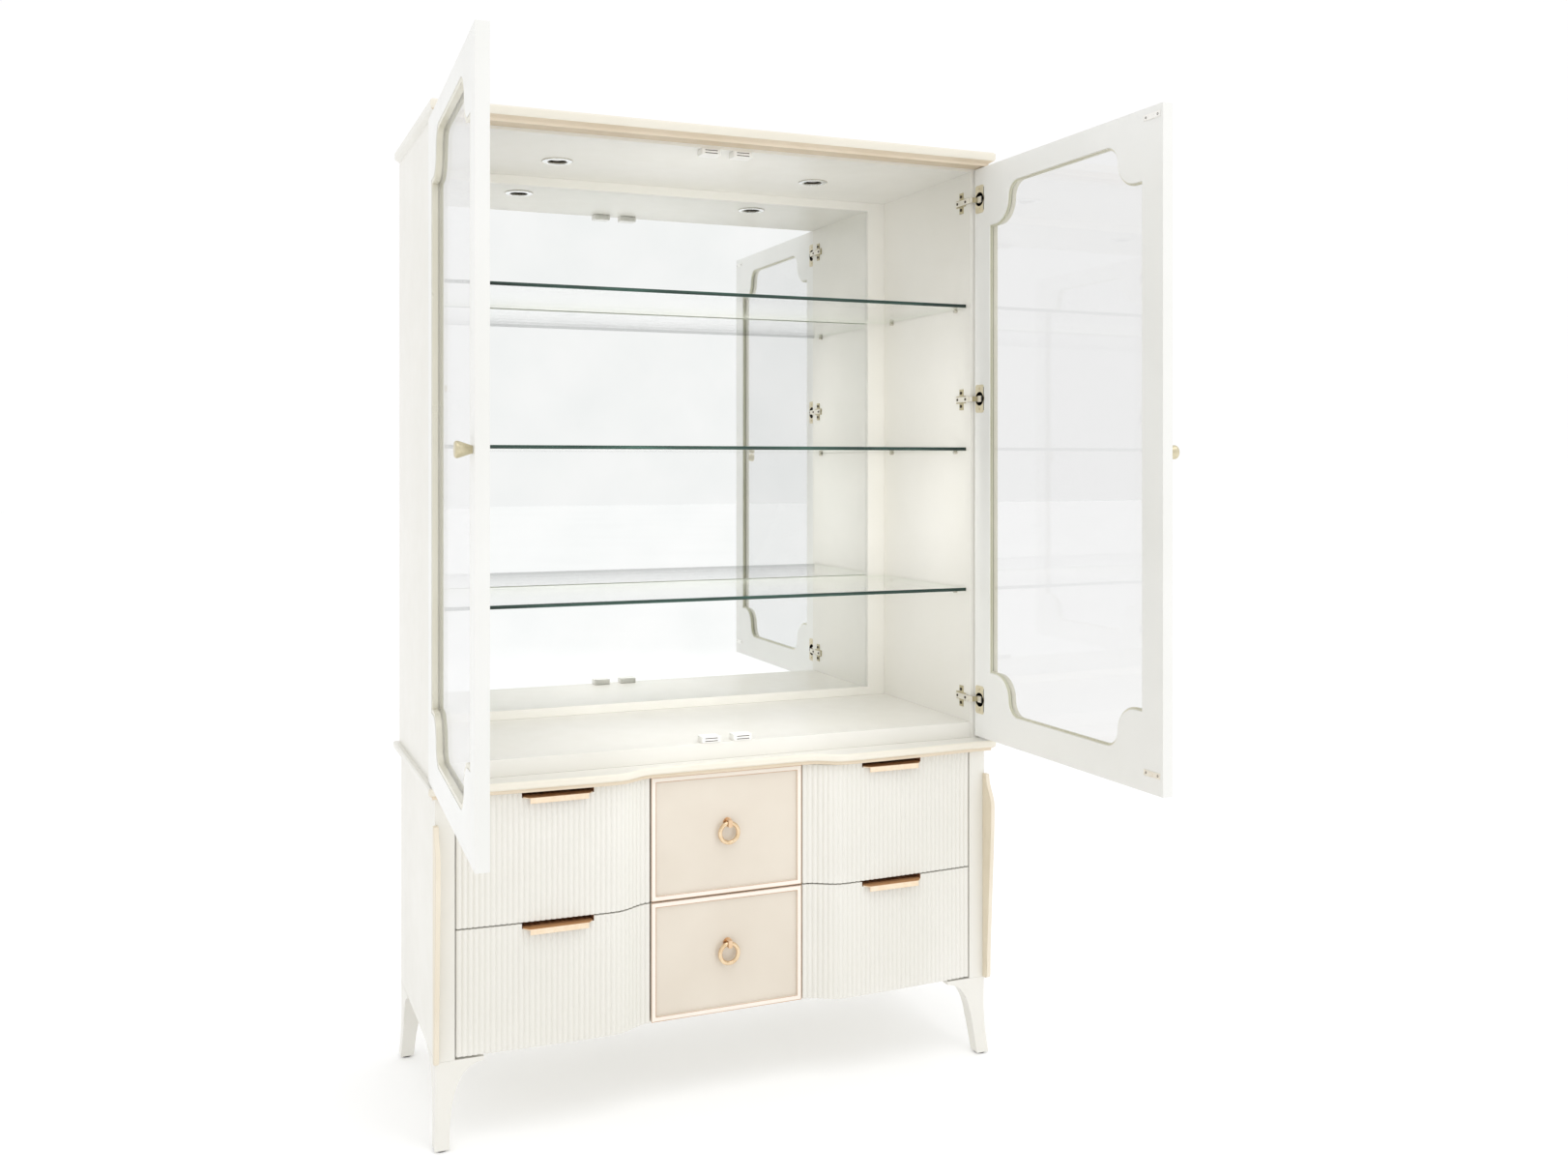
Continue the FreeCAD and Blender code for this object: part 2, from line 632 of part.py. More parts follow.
hinge_heights = ("hinge_low", "hinge_mid", "hinge_high")
for side_name, side in sides:
    half = "door_wide / 2"
    face = on_door(side, half, "door_thick", "door_low")
    frame = doc.addObject("PartDesign::Body", side_name + "_door_frame")
    pad(frame, side_name + "_door_pad", [rectangle("-door_wide / 2", "0", half, "door_high - door_low"),
                                         ogee_window("rebate_lap")], "door_thick")
    pocket(frame, side_name + "_door_rebate", [ogee_window("0")], "rebate_depth")
    frame.Placement = face
    cups = []
    for index, height in enumerate(hinge_heights):
        cup_shape = hinge_cup()
        if side > 0:
            cup_shape = cup_shape.mirror(FreeCAD.Vector(), FreeCAD.Vector(1, 0, 0))
        cup = shaped("%s_cup_%d" % (side_name, index), cup_shape)
        cup.Placement = on_door(side, "cup_edge + cup_diameter / 2", "0", height)
        cups.append(cup)
    bores = []
    for index, height in enumerate(hinge_heights):
        bore = doc.addObject("Part::Cylinder", "%s_cup_bore_%d" % (side_name, index))
        bore.setExpression("Radius", bound("cup_diameter / 2"))
        bore.setExpression("Height", bound("cup_depth + 1"))
        bore.Placement = on_door(side, "cup_edge + cup_diameter / 2", "-1", height, upright)
        bores.append(bore)
    node(side_name + "_door_frame", cut(side_name + "_door_frame_bored", frame, bores))
    node(side_name + "_hinge_cups", group(side_name + "_hinge_cups", cups))

    glass = doc.addObject("PartDesign::Body", side_name + "_door_glass")
    pad(glass, side_name + "_glass_pad", [ogee_window("glazing_gap")], "glass_thick")
    glass.Placement = on_door(side, half, "door_thick - rebate_depth + glass_thick", "door_low")
    node(side_name + "_door_glass", glass)

    bead = doc.addObject("PartDesign::Body", side_name + "_glazing_bead")
    pad(bead, side_name + "_bead_pad", [ogee_window("glazing_gap"), ogee_window("rebate_lap")], "bead_thick")
    bead.Placement = on_door(side, half, "door_thick - rebate_depth + glass_thick + bead_thick", "door_low")
    node(side_name + "_glazing_bead", bead)

    knob = turned(side_name + "_door_knob", [
        ("0", "0"), ("knob_foot / 2", "0"), ("knob_foot / 2", "2"),
        ("knob_wide / 2", "knob_long - 6"),
        ("knob_wide / 2", "knob_long - 2"), ("knob_wide / 2 - 2", "knob_long"), ("0", "knob_long")])
    knob.Placement = on_door(side, "door_wide - knob_edge", "door_thick", "knob_height",
                             FreeCAD.Rotation(FreeCAD.Vector(0, 0, 1), 180))
    node(side_name + "_door_knob", knob)

    strikes = []
    for index, height in enumerate(("door_low + strike_from_low", "door_high - strike_from_top")):
        strike = doc.addObject("Part::Box", "%s_strike_%d" % (side_name, index))
        strike.setExpression("Length", bound("strike_long"))
        strike.setExpression("Width", bound("strike_thick"))
        strike.setExpression("Height", bound("strike_tall"))
        start = "door_wide - strike_edge " + ("+" if side > 0 else "-") + " strike_long / 2"
        strike.Placement = on_door(side, start, "0", height + " - strike_tall / 2")
        strikes.append(strike)
    node(side_name + "_strike_plates", group(side_name + "_strike_plates", strikes))


def hinge_arm(side, height):
    """An arm from its plate on the hutch side to the pin in the cup, with the pin itself."""
    edge = number("hutch_half - door_inset")
    inner_face = number("hutch_face - door_standoff")
    thick, tall = number("arm_thick"), number("arm_tall")
    pin_u, pin_w = number("pin_edge"), -number("pin_into")
    side_u = number("side_thick - door_inset")
    standoff = number("door_standoff")

    def block(near, far, front, back, half_tall):
        low_x = side * (edge - near) if side < 0 else edge - far
        return Part.makeBox(far - near, back - front, 2 * half_tall,
                            FreeCAD.Vector(low_x, inner_face + front, height - half_tall))

    plate_u = side_u + number("plate_thick")
    elbow = side_u + number("arm_play") + thick
    leg = block(pin_u, elbow, pin_w - thick / 2, pin_w + thick / 2, tall / 2)
    front, back = standoff + number("plate_front"), standoff + number("plate_back")
    rail = block(elbow - thick, elbow, pin_w - thick / 2, back - 2, tall / 2)
    plate = block(side_u, plate_u, front, back, number("plate_tall / 2"))
    wings = block(side_u, plate_u, standoff + number("wing_front"), standoff + number("wing_back"),
                  number("wing_tall / 2"))
    centre = FreeCAD.Vector(side * (edge - pin_u), inner_face + pin_w, height)
    upward = FreeCAD.Vector(0, 0, 1)
    eye = Part.makeCylinder(number("hinge_pin / 2 + eye_wall"), tall, centre - upward * (tall / 2), upward)
    pin_half = number("lug_spread")
    pin = Part.makeCylinder(number("hinge_pin / 2"), 2 * pin_half, centre - upward * pin_half, upward)
    return leg.fuse([rail, plate, wings, eye, pin]).removeSplitter()


arms = [shaped("%s_arm_%s" % (side_name, height), hinge_arm(side, number(height)))
        for side_name, side in sides for height in hinge_heights]
node("hinge_arms", group("hinge_arms", arms))

# Chest: sides, stiles, bottom, back and the partitions with their packing strips.
for side_name, side in sides:
    label = "base_%s_side" % side_name
    node(label, box(label, span(side, "base_half - carcass_thick", "base_half"),
                    ("case_front + carcass_thick", "case_back"), ("leg_height", "waist_under")))
stiles = [box("face_stile_" + side_name, span(side, "zone_half", "base_half"),
              ("case_front", "case_front + carcass_thick"), ("leg_height", "waist_under"))
          for side_name, side in sides]
node("base_face_stiles", group("base_face_stiles", stiles))
carcass_inside = "base_half - carcass_thick"
carcass_span = ("-(%s)" % carcass_inside, carcass_inside)
node("base_bottom_panel", box("base_bottom_panel", carcass_span, ("carcass_face", "back_face"),
                              ("drawer_low", "drawer_low + carcass_thick")))
node("base_back_panel", box("base_back_panel", carcass_span, ("back_face", "case_back"),
                            ("drawer_low", "waist_under")))
rows = (("lower", "drawer_low", "drawer_split - drawer_gap / 2"),
        ("upper", "drawer_split + drawer_gap / 2", "drawer_high"))
runner_tops = {}
boards = []
members = []
for side_name, side in sides:
    boards.append(box("partition_" + side_name,
                      span(side, "centre_half - carcass_thick / 2", "centre_half + carcass_thick / 2"),
                      ("carcass_face", "back_face"), ("drawer_low + carcass_thick", "waist_under")))
    for row, low, high in rows:
        runner = (low + " + box_lift + runner_lift", low + " + box_lift + runner_lift + runner_tall")
        runner_run = ("carcass_face + 2", "carcass_face + 2 + box_deep")
        boards.append(box("packing_%s_%s" % (side_name, row), span(side, "zone_half", carcass_inside),
                          ("carcass_face", "back_face"), (runner[0] + " - 8", runner[1] + " + 8")))
        walls = (("zone_half - runner_steel", "zone_half"),
                 ("centre_half + carcass_thick / 2", "centre_half + carcass_thick / 2 + runner_steel"),
                 ("centre_half - carcass_thick / 2 - runner_steel", "centre_half - carcass_thick / 2"))
        for index, wall in enumerate(walls):
            name = "case_member_%s_%s_%d" % (side_name, row, index)
            members.append(box(name, span(side, *wall), runner_run, runner))
node("base_partitions", group("base_partitions", boards))
node("case_runners", group("case_runners", members))


def drawer_box(name, left, right, low):
    """Boards of one drawer box and its runner members, between two inner faces of the case."""
    outer = (left + " + runner_space", right + " - runner_space")
    inner = (outer[0] + " + box_wall", outer[1] + " - box_wall")
    start = "case_front + front_back"
    run = (start, start + " + box_deep")
    rise = (low + " + box_lift", low + " + box_lift + box_tall")
    steel = (low + " + box_lift + runner_lift", low + " + box_lift + runner_lift + runner_tall")
    member_run = (start + " + 8", start + " + box_deep")
    return group(name, [
        box(name + "_left_wall", (outer[0], inner[0]), run, rise),
        box(name + "_right_wall", (inner[1], outer[1]), run, rise),
        box(name + "_front_wall", inner, (start, start + " + box_wall"), rise),
        box(name + "_back_wall", inner, (start + " + box_deep - box_wall", start + " + box_deep"), rise),
        box(name + "_floor", inner, (start + " + box_wall", start + " + box_deep - box_wall"),
            (rise[0] + " + 8", rise[0] + " + 8 + box_floor")),
        box(name + "_left_member", (outer[0] + " - runner_steel", outer[0]), member_run, steel),
        box(name + "_right_member", (outer[1], outer[1] + " + runner_steel"), member_run, steel)])


def fluted_front(side, low, high):
    """A bowed drawer front with upright half-round reeds and a notch in its top edge for the pull."""
    start_x = number("zone_half - drawer_reveal")
    end_x = number("centre_half + drawer_gap / 2")
    back = number("case_front + front_back")
    depth = number("reed_depth")
    path = Part.Wire(bow_edges(side, start_x, -depth))
    spots = path.discretize(Number=int(number("reed_count")) + 1)
    edges = []
    for start, stop in zip(spots, spots[1:]):
        chord = stop - start
        outward = FreeCAD.Vector(chord.y, -chord.x, 0).normalize()
        if outward.y > 0:
            outward = -outward
        crest = (start + stop) * 0.5 + outward * depth
        edges.append(Part.Arc(start, crest, stop).toShape())
    ends = [spots[-1], FreeCAD.Vector(side * end_x, back, 0), FreeCAD.Vector(side * start_x, back, 0),
            spots[0]]
    edges += [Part.LineSegment(start, stop).toShape() for start, stop in zip(ends, ends[1:])]
    board = Part.Face(Part.Wire(edges)).extrude(FreeCAD.Vector(0, 0, high - low))
    board.translate(FreeCAD.Vector(0, 0, low))
    half = number("pull_back / 2 + 2")
    centre = side * (start_x + end_x) / 2
    corner = FreeCAD.Vector(centre - half, back - 150, high - number("pull_notch"))
    return board.cut(Part.makeBox(2 * half, 200, 100, corner))


def edge_pull(side, high):
    """A bent plate let into the notch of a fluted front, narrower at its front lip."""
    start_x = number("zone_half - drawer_reveal")
    centre = (start_x + number("centre_half + drawer_gap / 2")) / 2
    face = front_height(centre)
    metal, lip = number("pull_metal"), number("pull_lip")
    back_half, front_half = number("pull_back / 2"), number("pull_front / 2")
    tail, reach = face + number("pull_tail"), face - number("pull_reach")
    low = high - number("pull_notch")
    corners = [(-back_half, tail), (back_half, tail), (back_half, face), (front_half, reach),
               (-front_half, reach), (-back_half, face)]
    spots = [FreeCAD.Vector(side * centre + x, y, low) for x, y in corners]
    plate = Part.Face(Part.makePolygon(spots + spots[:1])).extrude(FreeCAD.Vector(0, 0, metal))
    corner = FreeCAD.Vector(side * centre - front_half, reach, low + metal - lip)
    return plate.fuse(Part.makeBox(2 * front_half, metal, lip, corner)).removeSplitter()


# Drawers: fluted ones at the sides, framed ones in the middle.
ring_radius = "(ring_wide / 2 - ring_thick / 2)"
ring_line = "(case_front + centre_setback - ring_standoff - ring_thick / 2)"
for row, low, high in rows:
    for side_name, side in sides:
        tag = "%s_%s" % (row, side_name)
        fluted = shaped("drawer_front_" + tag, fluted_front(side, number(low), number(high)))
        node("drawer_front_" + tag, fluted)
        left, right = span(side, "centre_half + carcass_thick / 2", "zone_half")
        node("drawer_box_" + tag, drawer_box("drawer_box_" + tag, left, right, low))
        node("edge_pull_" + tag, shaped("edge_pull_" + tag, edge_pull(side, number(high))))
    front = doc.addObject("PartDesign::Body", "drawer_front_%s_centre" % row)
    half = "(centre_half - drawer_gap / 2)"
    rise = "((%s) - (%s))" % (high, low)
    pad(front, "centre_pad_" + row, [rectangle("-" + half, "0", half, rise)], "front_back - centre_setback")
    field = rectangle("trim_width - " + half, "trim_width", half + " - trim_width", rise + " - trim_width")
    pocket(front, "centre_field_" + row, [field], "trim_raise")
    front.Placement.Base = FreeCAD.Vector(0, number("case_front + centre_setback"), number(low))
    node("drawer_front_%s_centre" % row, front)
    label = "drawer_box_%s_centre" % row
    centre_bay = "centre_half - carcass_thick / 2"
    node(label, drawer_box(label, "-(" + centre_bay + ")", centre_bay, low))

    # Ring pull: a lug on the front, and a ring that hangs through it.
    top_z = number("((%s) + (%s)) / 2 + ring_raise" % (low, high))
    line_y = number(ring_line)
    field_y = number("case_front + centre_setback + trim_raise")
    tip_y = line_y - number("post_wide / 2")
    stem = Part.makeCylinder(number("post_wide / 2"), field_y - tip_y, FreeCAD.Vector(0, tip_y, top_z),
                             FreeCAD.Vector(0, 1, 0))
    slim = number("post_slim")
    lug = stem.common(Part.makeBox(slim, 100, 100, FreeCAD.Vector(-slim / 2, tip_y - 10, top_z - 50)))
    rose_thick = number("rose_thick")
    rose = Part.makeCylinder(number("post_wide / 2") + rose_thick, rose_thick,
                             FreeCAD.Vector(0, field_y - rose_thick, top_z), FreeCAD.Vector(0, 1, 0))
    bore = Part.makeCylinder(number("post_bore / 2"), 2 * slim, FreeCAD.Vector(-slim, line_y, top_z),
                             FreeCAD.Vector(1, 0, 0))
    node("ring_post_" + row, shaped("ring_post_" + row, lug.fuse(rose).cut(bore).removeSplitter()))
    ring = doc.addObject("Part::Torus", "pull_ring_" + row)
    ring.setExpression("Radius1", bound(ring_radius))
    ring.setExpression("Radius2", bound("ring_thick / 2"))
    ring.Placement = FreeCAD.Placement(FreeCAD.Vector(0, line_y, top_z - number(ring_radius)), upright)
    node("pull_ring_" + row, ring)


# Corner fins: flat champagne pieces with a shaped front edge on each front corner.

def corner_fin(side):
    front, low, top = number("case_front"), number("leg_height"), number("fin_top")
    peak, peak_y = number("fin_peak"), front - number("fin_peak_deep")
    top_y, low_y = front - number("fin_top_deep"), front - number("fin_low_deep")
    turn = 12
    rise, fall = top - peak, peak - low
    shoulder = Part.BezierCurve()
    shoulder.setPoles([FreeCAD.Vector(0, y, z) for y, z in (
        (top_y, top), (top_y, top - rise * 0.45), (peak_y, peak + rise * 0.45), (peak_y, peak))])
    taper = Part.BezierCurve()
    taper.setPoles([FreeCAD.Vector(0, y, z) for y, z in (
        (peak_y, peak), (peak_y, peak - fall * 0.25), (low_y, low + fall * 0.3), (low_y, low + turn))])
    bend = turn * (1 - math.sqrt(0.5))
    edges = [
        Part.LineSegment(FreeCAD.Vector(0, front, top), FreeCAD.Vector(0, top_y, top)).toShape(),
        shoulder.toShape(),
        taper.toShape(),
        Part.Arc(FreeCAD.Vector(0, low_y, low + turn), FreeCAD.Vector(0, low_y + bend, low + bend),
                 FreeCAD.Vector(0, low_y + turn, low)).toShape(),
        Part.LineSegment(FreeCAD.Vector(0, low_y + turn, low), FreeCAD.Vector(0, front, low)).toShape(),
        Part.LineSegment(FreeCAD.Vector(0, front, low), FreeCAD.Vector(0, front, top)).toShape()]
    outer = number("base_half + fin_proud")
    thick = number("fin_thick")
    fin = Part.Face(Part.Wire(edges)).extrude(FreeCAD.Vector(thick, 0, 0))
    fin.translate(FreeCAD.Vector(outer - thick if side > 0 else -outer, 0, 0))
    return fin


node("corner_pilasters", group("corner_pilasters", [
    shaped("fin_" + side_name, corner_fin(side)) for side_name, side in sides]))


# Legs: a sabre leg whose top spreads into a bracket along both faces of the case.

def sabre(flare):
    """Half of a leg's shape: its outline seen square to one face, from the outer plane inwards."""
    low, top = number("glide_thick"), number("leg_height")
    toe, reach, lip = number("leg_toe"), number("leg_reach"), number("leg_lip")
    tall = top - low
    outer = Part.BezierCurve()
    outer.setPoles([FreeCAD.Vector(a, 0, low + b * tall) for a, b in (
        (0, 1), (flare * 0.4, 0.62), (flare * 0.15, 0.3), (-flare, 0))])
    under = top - lip
    inner = Part.BezierCurve()
    inner.setPoles([FreeCAD.Vector(a, 0, b) for a, b in (
        (toe - flare, low), (toe + flare * 0.6, low + tall * 0.45), (toe + 6, under - 6), (reach, under))])
    foot = [FreeCAD.Vector(-flare, 0, low), FreeCAD.Vector(toe - flare, 0, low)]
    head = [FreeCAD.Vector(reach, 0, under), FreeCAD.Vector(reach, 0, top), FreeCAD.Vector(0, 0, top)]
    return Part.Wire([outer.toShape(), Part.LineSegment(*foot).toShape(), inner.toShape(),
                      Part.LineSegment(*head[:2]).toShape(), Part.LineSegment(*head[1:]).toShape()])


def leg(side, rear):
    """One leg with its outer corner at (side * base_half, front or back plane)."""
    deep = 400
    web = number("leg_web")
    face_on = Part.Face(sabre(number("toe_side"))).extrude(FreeCAD.Vector(0, deep, 0))
    face_on.translate(FreeCAD.Vector(0, -deep / 2, 0))
    flare = number("toe_back" if rear else "toe_front")
    side_on = Part.Face(sabre(flare)).extrude(FreeCAD.Vector(0, -deep, 0))
    side_on.rotate(FreeCAD.Vector(), FreeCAD.Vector(0, 0, 1), 90)
    side_on.translate(FreeCAD.Vector(-deep / 2, 0, 0))
    shape = face_on.common(side_on)
    shape = shape.cut(Part.makeBox(deep, deep, deep, FreeCAD.Vector(web, web, 0)))
    if side > 0:
        shape = shape.mirror(FreeCAD.Vector(), FreeCAD.Vector(1, 0, 0))
    if rear:
        shape = shape.mirror(FreeCAD.Vector(), FreeCAD.Vector(0, 1, 0))
    plane = number("case_back" if rear else "case_front")
    shape.translate(FreeCAD.Vector(side * number("base_half"), plane, 0))
    return shape


for place, rear in (("front", False), ("rear", True)):
    node(place + "_legs", group(place + "_legs", [
        shaped("%s_leg_%s" % (place, side_name), leg(side, rear)) for side_name, side in sides]))
glides = []
for side_name, side in sides:
    for place, y in (("front", "case_front - toe_front + leg_toe / 2"),
                     ("rear", "case_back + toe_back - leg_toe / 2")):
        glides.append(cylinder("glide_%s_%s" % (place, side_name), "glide_wide / 2", "glide_thick",
                               (signed(side, "(base_half + toe_side - leg_toe / 2)"), y, "0")))
node("leg_glides", group("leg_glides", glides))

doc.recompute()
faults = [item.Name for item in doc.Objects if "Invalid" in item.State or "Error" in item.State]
for label, piece in nodes.items():
    if piece.Shape.isNull() or not piece.Shape.isValid() or not piece.Shape.Solids:
        faults.append(label)
if faults:
    raise RuntimeError("failed: " + ", ".join(faults))
os.makedirs("parts", exist_ok=True)
for label, piece in nodes.items():
    piece.Shape.exportStep("parts/%s.step" % label)
print(len(nodes), "nodes written")
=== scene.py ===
# Curio cabinet: a chest of six drawers on sabre legs and a glazed hutch, lacquered in pearl white with
# champagne trims. Metres, +Z up, -Y the front.
import json
import math

import bpy
from mathutils import Matrix, Vector


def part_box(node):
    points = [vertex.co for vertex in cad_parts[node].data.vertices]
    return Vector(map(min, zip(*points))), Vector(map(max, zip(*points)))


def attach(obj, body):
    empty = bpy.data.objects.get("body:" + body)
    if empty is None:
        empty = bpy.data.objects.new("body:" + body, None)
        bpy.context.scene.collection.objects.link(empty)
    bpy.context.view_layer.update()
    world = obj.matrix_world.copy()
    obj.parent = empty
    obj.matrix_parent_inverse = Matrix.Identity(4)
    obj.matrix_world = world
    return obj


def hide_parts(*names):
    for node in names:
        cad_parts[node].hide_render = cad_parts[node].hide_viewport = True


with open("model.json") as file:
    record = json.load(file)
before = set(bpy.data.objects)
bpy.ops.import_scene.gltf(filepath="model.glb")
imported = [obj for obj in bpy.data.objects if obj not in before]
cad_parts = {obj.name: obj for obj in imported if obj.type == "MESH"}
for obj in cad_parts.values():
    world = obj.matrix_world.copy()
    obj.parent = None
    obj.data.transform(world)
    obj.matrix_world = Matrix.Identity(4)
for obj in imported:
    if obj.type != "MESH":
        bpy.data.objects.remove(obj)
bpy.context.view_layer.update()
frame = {"nodes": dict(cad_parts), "record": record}

nodes = frame["nodes"]
bodyOf = {node: body for body, names in frame["record"]["behaviour"]["bodies"].items() for node in names}
slotOf = {part["node"]: part["material_slot"] for part in frame["record"]["subparts"]}
mm = 0.001
print("stage: frame loaded,", len(nodes), "nodes")


# Finishes

def toLinear(hexColour):
    values = [int(hexColour[i:i + 2], 16) / 255 for i in (1, 3, 5)]
    return tuple(v / 12.92 if v <= 0.04045 else ((v + 0.055) / 1.055) ** 2.4 for v in values) + (1.0,)


def addNode(material, kind, settings, links=()):
    # settings are values of sockets or of the node itself; a ramp's "stops" are places with a hex colour or a grey
    node = material.node_tree.nodes.new(kind)
    for key, value in settings.items():
        if key == "stops":
            bar = node.color_ramp.elements
            while len(bar) < len(value):
                bar.new(0.5)
            for mark, (place, tone) in zip(bar, value):
                mark.position = place
                mark.color = toLinear(tone) if isinstance(tone, str) else (tone, tone, tone, 1.0)
        elif isinstance(key, int) or key in node.inputs:
            node.inputs[key].default_value = value
        else:
            setattr(node, key, value)
    for socket, source in links:
        material.node_tree.links.new(source, node.inputs[socket])
    return node


def newFinish(name, shader):
    material = bpy.data.materials.new(name)
    material.use_nodes = True
    material.node_tree.nodes.clear()
    where = addNode(material, "ShaderNodeTexCoord", {})
    surface = addNode(material, "ShaderNodeBsdfPrincipled", shader)
    addNode(material, "ShaderNodeOutputMaterial", {}, [("Surface", surface.outputs[0])])
    return material, where.outputs["Object"], surface


def wire(material, surface, socket, source):
    material.node_tree.links.new(source, surface.inputs[socket])


def sprayedLacquer(name, low, high, rough, depth, shimmer=0.0):
    # Polyester lacquer, sprayed and left to flow out: soft satin, faint orange peel about 3 mm across,
    # and a colour that drifts a little from one panel to the next.
    material, place, surface = newFinish(name, {"Roughness": rough, "IOR": 1.5, "Metallic": shimmer,
                                                "Coat Weight": 0.15, "Coat Roughness": 0.12})
    drift = addNode(material, "ShaderNodeTexNoise", {"Scale": 3.0, "Detail": 3.0}, [("Vector", place)])
    colour = addNode(material, "ShaderNodeValToRGB", {"stops": [(0.35, low), (0.68, high)]},
                     [("Fac", drift.outputs["Fac"])])
    wire(material, surface, "Base Color", colour.outputs["Color"])
    peel = addNode(material, "ShaderNodeTexNoise", {"Scale": 330.0, "Detail": 2.0, "Roughness": 0.4},
                   [("Vector", place)])
    cloud = addNode(material, "ShaderNodeTexNoise", {"Scale": 22.0, "Detail": 4.0}, [("Vector", place)])
    dull = addNode(material, "ShaderNodeValToRGB", {"stops": [(0.3, rough - 0.05), (0.7, rough + 0.06)]},
                   [("Fac", cloud.outputs["Fac"])])
    wire(material, surface, "Roughness", dull.outputs["Color"])
    bump = addNode(material, "ShaderNodeBump", {"Strength": depth, "Distance": 0.0002},
                   [("Height", peel.outputs["Fac"])])
    wire(material, surface, "Normal", bump.outputs["Normal"])
    return material


def pearlPaint(name, low, high, rough, shimmer):
    # Lacquer or plate with mica in its top coat: a warm tone with soft glints. The flakes are 0.8 mm apart,
    # coarser than real mica so that they show.
    material, place, surface = newFinish(name, {"Roughness": rough, "IOR": 1.5, "Metallic": shimmer,
                                                "Coat Weight": 0.2, "Coat Roughness": 0.1})
    drift = addNode(material, "ShaderNodeTexNoise", {"Scale": 5.0, "Detail": 3.0}, [("Vector", place)])
    base = addNode(material, "ShaderNodeValToRGB", {"stops": [(0.35, low), (0.7, high)]},
                   [("Fac", drift.outputs["Fac"])])
    flake = addNode(material, "ShaderNodeTexVoronoi", {"Scale": 1200.0}, [("Vector", place)])
    glint = addNode(material, "ShaderNodeValToRGB", {"stops": [(0.0, 1.0), (0.35, 0.93), (0.8, 0.9)]},
                    [("Fac", flake.outputs["Distance"])])
    mix = addNode(material, "ShaderNodeMix", {"data_type": "RGBA", "blend_type": "MULTIPLY", 0: 0.45},
                  [(6, base.outputs["Color"]), (7, glint.outputs["Color"])])
    wire(material, surface, "Base Color", mix.outputs[2])
    peel = addNode(material, "ShaderNodeTexNoise", {"Scale": 400.0, "Detail": 2.0}, [("Vector", place)])
    dull = addNode(material, "ShaderNodeValToRGB", {"stops": [(0.3, rough - 0.04), (0.7, rough + 0.06)]},
                   [("Fac", peel.outputs["Fac"])])
    wire(material, surface, "Roughness", dull.outputs["Color"])
    bump = addNode(material, "ShaderNodeBump", {"Strength": 0.12, "Distance": 0.0002},
                   [("Height", peel.outputs["Fac"])])
    wire(material, surface, "Normal", bump.outputs["Normal"])
    return material


def brushedMetal(name, low, high, rough, stretch, depth=0.12):
    # Plated or bare metal: scratches along one way, wider than real ones so that they show, and soft
    # tarnish clouds about 15 mm across.
    material, place, surface = newFinish(name, {"Roughness": rough, "Metallic": 1.0})
    lie = addNode(material, "ShaderNodeMapping", {"Scale": stretch}, [("Vector", place)])
    scratch = addNode(material, "ShaderNodeTexNoise", {"Scale": 1.0, "Detail": 3.0, "Roughness": 0.6},
                      [("Vector", lie.outputs["Vector"])])
    cloud = addNode(material, "ShaderNodeTexNoise", {"Scale": 60.0, "Detail": 4.0}, [("Vector", place)])
    colour = addNode(material, "ShaderNodeValToRGB", {"stops": [(0.3, low), (0.7, high)]},
                     [("Fac", cloud.outputs["Fac"])])
    wire(material, surface, "Base Color", colour.outputs["Color"])
    dull = addNode(material, "ShaderNodeValToRGB", {"stops": [(0.3, rough - 0.07), (0.7, rough + 0.1)]},
                   [("Fac", scratch.outputs["Fac"])])
    wire(material, surface, "Roughness", dull.outputs["Color"])
    bump = addNode(material, "ShaderNodeBump", {"Strength": depth, "Distance": 0.0001},
                   [("Height", scratch.outputs["Fac"])])
    wire(material, surface, "Normal", bump.outputs["Normal"])
    return material


def sawnWood(name, low, mid, high, rough):
    # Sealed boards: straight grain along Y with growth lines about 13 mm apart and short pores.
    material, place, surface = newFinish(name, {"Roughness": rough, "IOR": 1.5})
    lie = addNode(material, "ShaderNodeMapping", {"Scale": (30.0, 2.2, 30.0)}, [("Vector", place)])
    sway = addNode(material, "ShaderNodeTexNoise", {"Scale": 1.4, "Detail": 4.0},
                   [("Vector", lie.outputs["Vector"])])
    rings = addNode(material, "ShaderNodeTexWave", {"Scale": 1.6, "Distortion": 7.0, "Detail": 3.0,
                                                    "bands_direction": "DIAGONAL"},
                    [("Vector", lie.outputs["Vector"]), ("Phase Offset", sway.outputs["Fac"])])
    colour = addNode(material, "ShaderNodeValToRGB", {"stops": [(0.1, low), (0.5, mid), (0.9, high)]},
                     [("Fac", rings.outputs["Fac"])])
    wire(material, surface, "Base Color", colour.outputs["Color"])
    thin = addNode(material, "ShaderNodeMapping", {"Scale": (900.0, 22.0, 900.0)}, [("Vector", place)])
    pores = addNode(material, "ShaderNodeTexNoise", {"Scale": 1.0, "Detail": 2.0},
                    [("Vector", thin.outputs["Vector"])])
    bump = addNode(material, "ShaderNodeBump", {"Strength": 0.25, "Distance": 0.0003},
                   [("Height", pores.outputs["Fac"])])
    wire(material, surface, "Normal", bump.outputs["Normal"])
    return material


